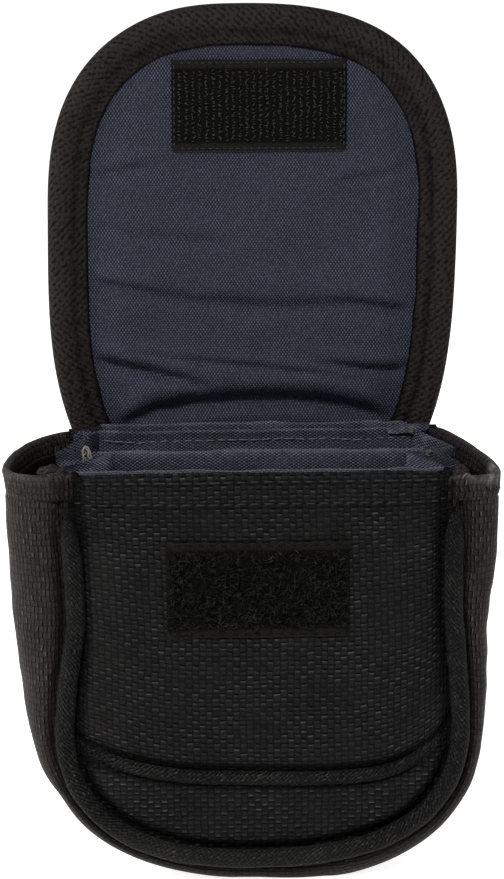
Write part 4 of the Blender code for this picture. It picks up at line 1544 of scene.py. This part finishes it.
def make_hook_tape():
    base = tape_base("hook_tape", lining_face, hook_tape_frame, 0.0001, 0.00005, 80)
    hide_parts("hook_tape")
    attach(base, "flap_cover")
    left, right, low, high = hook_tape_frame
    points, aways, alongs = [], [], []
    chance = random.Random(11)
    columns, rows = 25, 27
    for column in range(columns):
        for row in range(rows):
            x = mix(left + 0.0012, right - 0.0006, (column + 0.5) / columns)
            x += chance.uniform(-0.00018, 0.00018)
            z = mix(low + tape_selvedge + 0.0001, high - tape_selvedge - 0.0001, (row + 0.5) / rows)
            z += chance.uniform(-0.00020, 0.00020) + (0.0002 if column % 2 else -0.0002)
            points.append(Vector((x, lining_face(x, z) - 0.0007, z)))
            aways.append(Vector((0.5 * chance.uniform(-1, 1), -1, 0.5 * chance.uniform(-1, 1))))
            alongs.append(Vector((1 if (column + row) % 2 else -1, 0, chance.uniform(-1, 1))))
    hooks = pile("hook_tape_hooks", points, aways, alongs, hook_nylon, Radius=0.00030, Start=-0.5, Sweep=3.9,
                 Segments=7, Sides=5, Thread_Radius=0.00013, Stand=0.00028, Wobble=(0.5, 0.5, 0.8),
                 Size_Spread=0.3, Seed=9)
    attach(hooks, "flap_cover")


# Belt loop

def strap_line():
    """The strap's inner face as (depth, height) from its bottom to its top, rounded at its bends."""
    sewn = back_face + 0.0003
    out = sewn + strap_slot_depth
    line = []
    for z in spread(strap_heights[0], strap_heights[-1], 74):
        lift = ease(strap_heights[1] - 0.001, strap_heights[2] + 0.001, z)
        lift *= ease(strap_heights[4] + 0.001, strap_heights[3] - 0.001, z)
        line.append((mix(sewn, out, lift), z))
    return line


def sewn_strap(x, z):
    """Depth of the strap's outer face where it is sewn to the back."""
    return max(back_face + 0.0003, back_surface(x, z) + 0.0002) + strap_thickness


def make_belt_loop():
    rows = []
    for depth, z in strap_line():
        row = []
        for across in spread(-1, 1, 26):
            x = across * strap_width / 2 + 0.0002 * drift(across, 0, z, 0.006, 90)
            rim = 1 - ease(0.93, 1.0, abs(across)) * 0.35
            y = max(depth, back_surface(x, z) + 0.0002) + strap_thickness * rim
            y += 0.00015 * drift(x, 0, z, 0.008, 91)
            row.append((x, min(y, 0.0286), z))
        rows.append(row)
    piece = grid_piece("belt_loop", rows, webbing_cloth, facing(0, 1, 0), thickness=strap_thickness * 0.92,
                       lengths=flat_lengths(rows))
    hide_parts("belt_loop")
    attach(piece, "pouch")
    paths = []
    half = 0.0170
    for low, high in ((0.0275, 0.0350), (0.0912, 0.0985)):
        corners = [(-half, low), (half, low), (half, high), (-half, high), (-half, low), (half, high),
                   (half, low), (-half, high)]
        for near, far in zip(corners, corners[1:]):
            paths.append(stitch_path(between(near, far, spread(0, 1, 12)), sewn_strap, -0.00008, (0, 1, 0)))
    thread = stitches("belt_loop_stitches", paths, black_thread, length=0.0022, gap=0.0006)
    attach(thread, "pouch")


# Threads

def tape_paths(frame_box, surface):
    """Stitch lines round a tape, just inside its edges."""
    inset = 0.0007
    left, right, low, high = frame_box
    corners = [(left + inset, low + inset), (right - inset, low + inset), (right - inset, high - inset),
               (left + inset, high - inset), (left + inset, low + inset)]
    sides = [between(near, far, spread(0.05, 0.95, 30)) for near, far in zip(corners, corners[1:])]
    return [stitch_path(side, surface, 0.00085) for side in sides]


def make_front_threads():
    paths = []
    for height in hem_stitch_heights:
        places = [(x, height + 0.0003 * drift(x, 0, 0, 0.02, 100)) for x in spread(-0.0462, 0.0462, 90)]
        paths.append(stitch_path(places, front_surface, 0.00004))
    thread = stitches("front_hem_stitches", paths, black_thread, length=0.0028, gap=0.0006, radius=0.00024)
    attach(thread, "pouch")
    thread = stitches("loop_tape_stitches", tape_paths(loop_tape_frame, front_surface), dark_thread,
                      length=0.0022, gap=0.0006, radius=0.00017)
    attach(thread, "pouch")
    paths = []
    for above in (0.0022, -0.0020):
        places = [(x, welt_z(x) + above) for x in spread(-0.0440, 0.0440, 90)]
        paths.append(stitch_path(places, front_surface, 0.00002))
    shares = spread(share_at_height(-1, 0.1085), share_at_height(1, 0.1085), 300)
    paths.append(stitch_path([seam_at(share, -0.0046, sway=1) for share in shares], front_surface, 0.00002))
    thread = stitches("front_crease_stitches", paths, dark_thread, length=0.0028, gap=0.0006, radius=0.00024)
    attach(thread, "pouch")


def make_gusset_threads():
    paths = []
    rim_share = 0.0046 / seam_length
    for share in (rim_share, 1 - rim_share):
        path = []
        for turn in spread(0.06, 0.94, 60):
            point = gusset_point(share, turn)
            away = point - gusset_point(share, turn, 0.002)
            path.append((point - away.normalized() * 0.00010, away))
        paths.append(path)
    thread = stitches("gusset_stitches", paths, black_thread, length=0.0025, gap=0.0007)
    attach(thread, "pouch")


def make_divider_threads():
    rows = sheet_rows("divider_middle")
    path = []
    for point in rows[0][2:-2]:
        wave = 0.0004 * drift(point.x, 0, 0, 0.007, 44)
        path.append((Vector((point.x, point.y - 0.00012, point.z - 0.0026 + wave)), (0, -1, 0.1)))
    thread = stitches("divider_middle_stitches", [path], grey_thread, length=0.0026, gap=0.0003,
                      radius=0.00019, wobble=0.12)
    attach(thread, "pouch")


def make_binding_threads():
    """Stitches in the crease of the binding, on both faces."""
    for low, name in ((True, "lower"), (False, "upper")):
        if low:
            runs = [edge_stations(binding_root_z + 0.004, split_z - 0.0004, side, 40) for side in (-1, 1)]
        else:
            runs = [round_arch(split_z + 0.0004)]
        paths = []
        for run in runs:
            for sign in (1, -1):
                paths.append([(Vector((x - binding_band_width * out_x, fold_y - sign * 0.00285,
                                       z - binding_band_width * out_z)), (0, -sign, 0))
                              for x, z, out_x, out_z in run])
        thread = stitches("flap_binding_stitches_" + name, paths, dark_thread, length=0.0019, gap=0.0004,
                          radius=0.00017, dip=0.0004, wobble=0.15)
        if low:
            blend_lower(thread)
        else:
            blend_upper(thread)


def make_hook_tape_threads():
    thread = stitches("hook_tape_stitches", tape_paths(hook_tape_frame, lining_face), black_thread,
                      length=0.0012, gap=0.0006)
    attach(thread, "flap_cover")


# Corner tabs, knots and bar tacks

def folded_tab(name, corners, bulge, seed):
    """A small flap of lining cloth, folded double over a corner: corners run round from its lower left."""
    low_left, low_right, high_right, high_left = [Vector(corner) for corner in corners]
    rows = []
    for up in spread(0, 1, 12):
        row = []
        for across in spread(0, 1, 14):
            point = low_left.lerp(low_right, across).lerp(high_left.lerp(high_right, across), up)
            swell = math.sin(math.pi * across) ** 0.5 * math.sin(math.pi * min(1, up * 0.9 + 0.1)) ** 0.5
            point.y -= bulge * swell + 0.0003 * drift(point.x, 0, point.z, 0.003, seed)
            point.z += 0.0004 * drift(point.x, 0, 0, 0.004, seed + 1)
            row.append(point)
        rows.append(row)
    top = rows[-1]
    for back in (0.0006, 0.0012):
        rows.append([Vector((p.x, p.y + back, p.z - back * 0.6 + 0.0002)) for p in top])
    piece = grid_piece(name, rows, pocket_cloth, facing(0, -1, 0.2), thickness=0.0006, painted_light_and_wear=pleat_painted_light)
    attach(piece, "pouch")


def framed(points):
    """Frames along a free line of points, for tube."""
    made = []
    side = Vector((0, 0, 1)).cross(points[1] - points[0]).normalized()
    for index, point in enumerate(points):
        run = (points[min(index + 1, len(points) - 1)] - points[max(index - 1, 0)]).normalized()
        side = (side - run * side.dot(run)).normalized()
        made.append((point, side, run.cross(side)))
    return made


def bar_tack(name, middle, seed):
    """A dense zigzag of thread that locks a corner."""
    half_width, half_height, turns = 0.0006, 0.0009, 8
    chance = random.Random(seed)
    away = Vector((0, -1, 0.15)).normalized()
    middle = Vector(middle)
    points = []
    for index in range(turns + 1):
        across = (-1 if index % 2 else 1) * half_width * chance.uniform(0.8, 1.15)
        up = mix(-half_height, half_height, index / turns)
        for lift in ((0.00025, 0.00045) if index % 2 else (0.00045, 0.00025)):
            points.append(middle + Vector((across * (1 if lift > 0.0003 else 0.92), 0, up)) + away * lift)
    piece = tube(name, framed(points), 0.00017, grey_thread, sides=6)
    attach(piece, "pouch")


def thread_run(name, points, radius, material):
    """A short smooth run of thread through a few points."""
    line = []
    padded = [points[0]] + list(points) + [points[-1]]
    for index in range(1, len(padded) - 2):
        a, b, c, d = [Vector(padded[index + step]) for step in (-1, 0, 1, 2)]
        for share in spread(0, 1, 8)[:-1]:
            bend = 2 * b + (c - a) * share + (2 * a - 5 * b + 4 * c - d) * share ** 2
            line.append((bend + (3 * b - a - 3 * c + d) * share ** 3) / 2)
    line.append(Vector(points[-1]))
    piece = tube(name, framed(line), radius, material, sides=6)
    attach(piece, "pouch")


def bunched_end(name, middle, sizes, seed):
    """Gathered cloth where the hems run into the side seam: a lumpy knot with frayed folds."""
    rows = []
    for up in spread(0, math.pi, 26):
        row = []
        for round_share in range(36):
            angle = 2 * math.pi * round_share / 36
            way = Vector((math.sin(up) * math.cos(angle), math.sin(up) * math.sin(angle), math.cos(up)))
            size = 1 + 0.30 * drift(*way, 0.8, seed) + 0.22 * drift(*way, 0.28, seed + 1)
            row.append(Vector(middle) + Vector((way.x * sizes[0], way.y * sizes[1], way.z * sizes[2])) * size)
        rows.append(row)
    piece = grid_piece(name, rows, side_nylon, from_middle, wrap=True, caps=True, painted_light_and_wear=lambda point: 0.04)
    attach(piece, "pouch")


def make_corners():
    folded_tab("rear_rim_tab", ((0.0346, 0.0035, 0.1160), (0.0449, 0.0035, 0.1166),
                                (0.0452, 0.0045, 0.1186), (0.0342, 0.0045, 0.1182)), 0.0006, 110)
    folded_tab("corner_fold_left", ((-0.0485, -0.0168, 0.1108), (-0.0372, -0.0162, 0.1095),
                                    (-0.0382, -0.0108, 0.1154), (-0.0408, -0.0112, 0.1150)), 0.0009, 120)
    folded_tab("corner_fold_right", ((0.0368, -0.0162, 0.1095), (0.0492, -0.0168, 0.1108),
                                     (0.0420, -0.0112, 0.1146), (0.0384, -0.0108, 0.1152)), 0.0009, 130)
    bunched_end("seam_knot_left", (-0.0530, -0.0158, 0.1118), (0.0036, 0.0020, 0.0019), 140)
    bunched_end("seam_knot_right", (0.0514, -0.0172, 0.1106), (0.0021, 0.0016, 0.0019), 150)
    bar_tack("bar_tack_rear_right", (0.0405, 0.0026, 0.1172), 3)
    bar_tack("bar_tack_front_right", (0.0436, -0.0104, 0.1141), 4)
    middle = Vector((-0.0442, -0.0108, 0.1150))
    # Runs of the left tack's thread, in millimetres from its middle, with their radii
    runs = (
        ("tack_loop_left", 0.00024, ((0.2, 0, -1.9), (-0.9, -0.5, -0.6), (-1.1, -0.7, 1.2), (-0.4, -0.8, 2.3),
                                     (0.4, -0.7, 1.6), (0.9, -0.5, -0.2), (1.2, -0.2, -1.7))),
        ("tack_thread_left", 0.00019, ((-0.7, -0.2, 2.0), (0.3, -0.9, 1.0), (0.2, -1.0, -0.2),
                                       (0.8, -0.7, -1.3), (0.1, -0.4, -2.3))),
        ("tack_end_left", 0.00013, ((-0.2, -0.3, 0.6), (-0.9, -0.9, 0.1), (-1.0, -0.7, -1.3),
                                    (-0.5, -0.4, -2.5), (-0.8, -0.4, -3.0))),
    )
    for name, radius, steps in runs:
        thread_run(name, [middle + Vector(step) * 0.001 for step in steps], radius, pale_thread)
    thread_run("tack_end_right", [(0.0433, -0.0108, 0.1142), (0.0440, -0.0118, 0.1150),
                                  (0.0450, -0.0114, 0.1146), (0.0454, -0.0108, 0.1136)], 0.00013, grey_thread)


# Floor, light and camera

def stage_material(name, colour):
    """Pale surface that the camera sees as white, with the shadows that fall on it."""
    material = bpy.data.materials.new(name)
    material.use_nodes = True
    tree = material.node_tree
    shader = tree.nodes["Principled BSDF"]
    shader.inputs["Base Color"].default_value = (*colour, 1)
    shader.inputs["Roughness"].default_value = 0.9
    shader.inputs["Specular IOR Level"].default_value = 0.0
    path = tree.nodes.new("ShaderNodeLightPath")
    seen = math_node("MAXIMUM", tree, path.outputs["Is Camera Ray"], path.outputs["Is Glossy Ray"])
    shader.inputs["Emission Color"].default_value = (1, 1, 1, 1)
    tree.links.new(times(tree, seen, 0.86), shader.inputs["Emission Strength"])
    return material


def make_stage():
    mesh = bpy.data.meshes.new("floor")
    reach = 3.0
    corners = [(-reach, -reach, 0), (reach, -reach, 0), (reach, reach, 0), (-reach, reach, 0)]
    mesh.from_pydata(corners, [], [(0, 1, 2, 3)])
    mesh.materials.append(stage_material("floor_paper", (0.80, 0.80, 0.80)))
    floor = link(bpy.data.objects.new("floor", mesh))
    world = bpy.data.worlds.new("studio")
    bpy.context.scene.world = world
    world.use_nodes = True
    tree = world.node_tree
    back = tree.nodes["Background"]
    back.inputs["Color"].default_value = (1, 1, 1, 1)
    path = tree.nodes.new("ShaderNodeLightPath")
    strength = plus(tree, 0.26, times(tree, path.outputs["Is Camera Ray"], 0.74))
    tree.links.new(strength, back.inputs["Strength"])


def make_lamp(name, place, target, size, energy):
    lamp = bpy.data.lights.new(name, "AREA")
    lamp.shape = "RECTANGLE"
    lamp.size, lamp.size_y = size
    lamp.energy = energy
    obj = link(bpy.data.objects.new(name, lamp))
    obj.location = place
    obj.rotation_euler = (Vector(target) - Vector(place)).to_track_quat("-Z", "Y").to_euler()


def make_camera():
    azimuth, elevation = math.radians(-3.01), math.radians(14)
    distance, lens = 0.786, 123.5
    target = Vector((-0.00134, 0, 0.11575))
    back = Vector((math.sin(azimuth) * math.cos(elevation), -math.cos(azimuth) * math.cos(elevation),
                   math.sin(elevation)))
    camera = bpy.data.cameras.new("camera")
    camera.lens = lens
    camera.sensor_width = 36
    obj = link(bpy.data.objects.new("camera", camera))
    obj.location = target + back * distance
    obj.rotation_euler = (-back).to_track_quat("-Z", "Y").to_euler()
    camera.clip_start = 0.05
    camera.clip_end = 20
    bpy.context.scene.camera = obj


make_camera()
make_stage()
make_lamp("key_softbox", (-0.30, -1.00, 1.15), (0, 0, 0.11), (0.40, 0.25), 18.5)
make_lamp("right_softbox", (1.00, 0.05, 0.50), (0, 0, 0.09), (0.5, 0.8), 2.2)
make_lamp("left_softbox", (-1.00, 0.00, 0.45), (0, 0, 0.09), (0.5, 0.8), 8.5)
bpy.context.scene.view_settings.view_transform = "Standard"

make_front_upper()
make_front_lower()
make_welt()
make_piping("front_piping", front_piping_y, front_piping_top, 0.6)
make_piping("back_piping", back_piping_y, back_piping_top, 0.2)
make_gusset()
make_wall_linings()
make_dividers()
make_pleats()
make_corners()
make_back()
make_flap_field()
make_binding()
make_loop_tape()
make_hook_tape()
make_belt_loop()
make_front_threads()
make_gusset_threads()
make_divider_threads()
make_binding_threads()
make_hook_tape_threads()
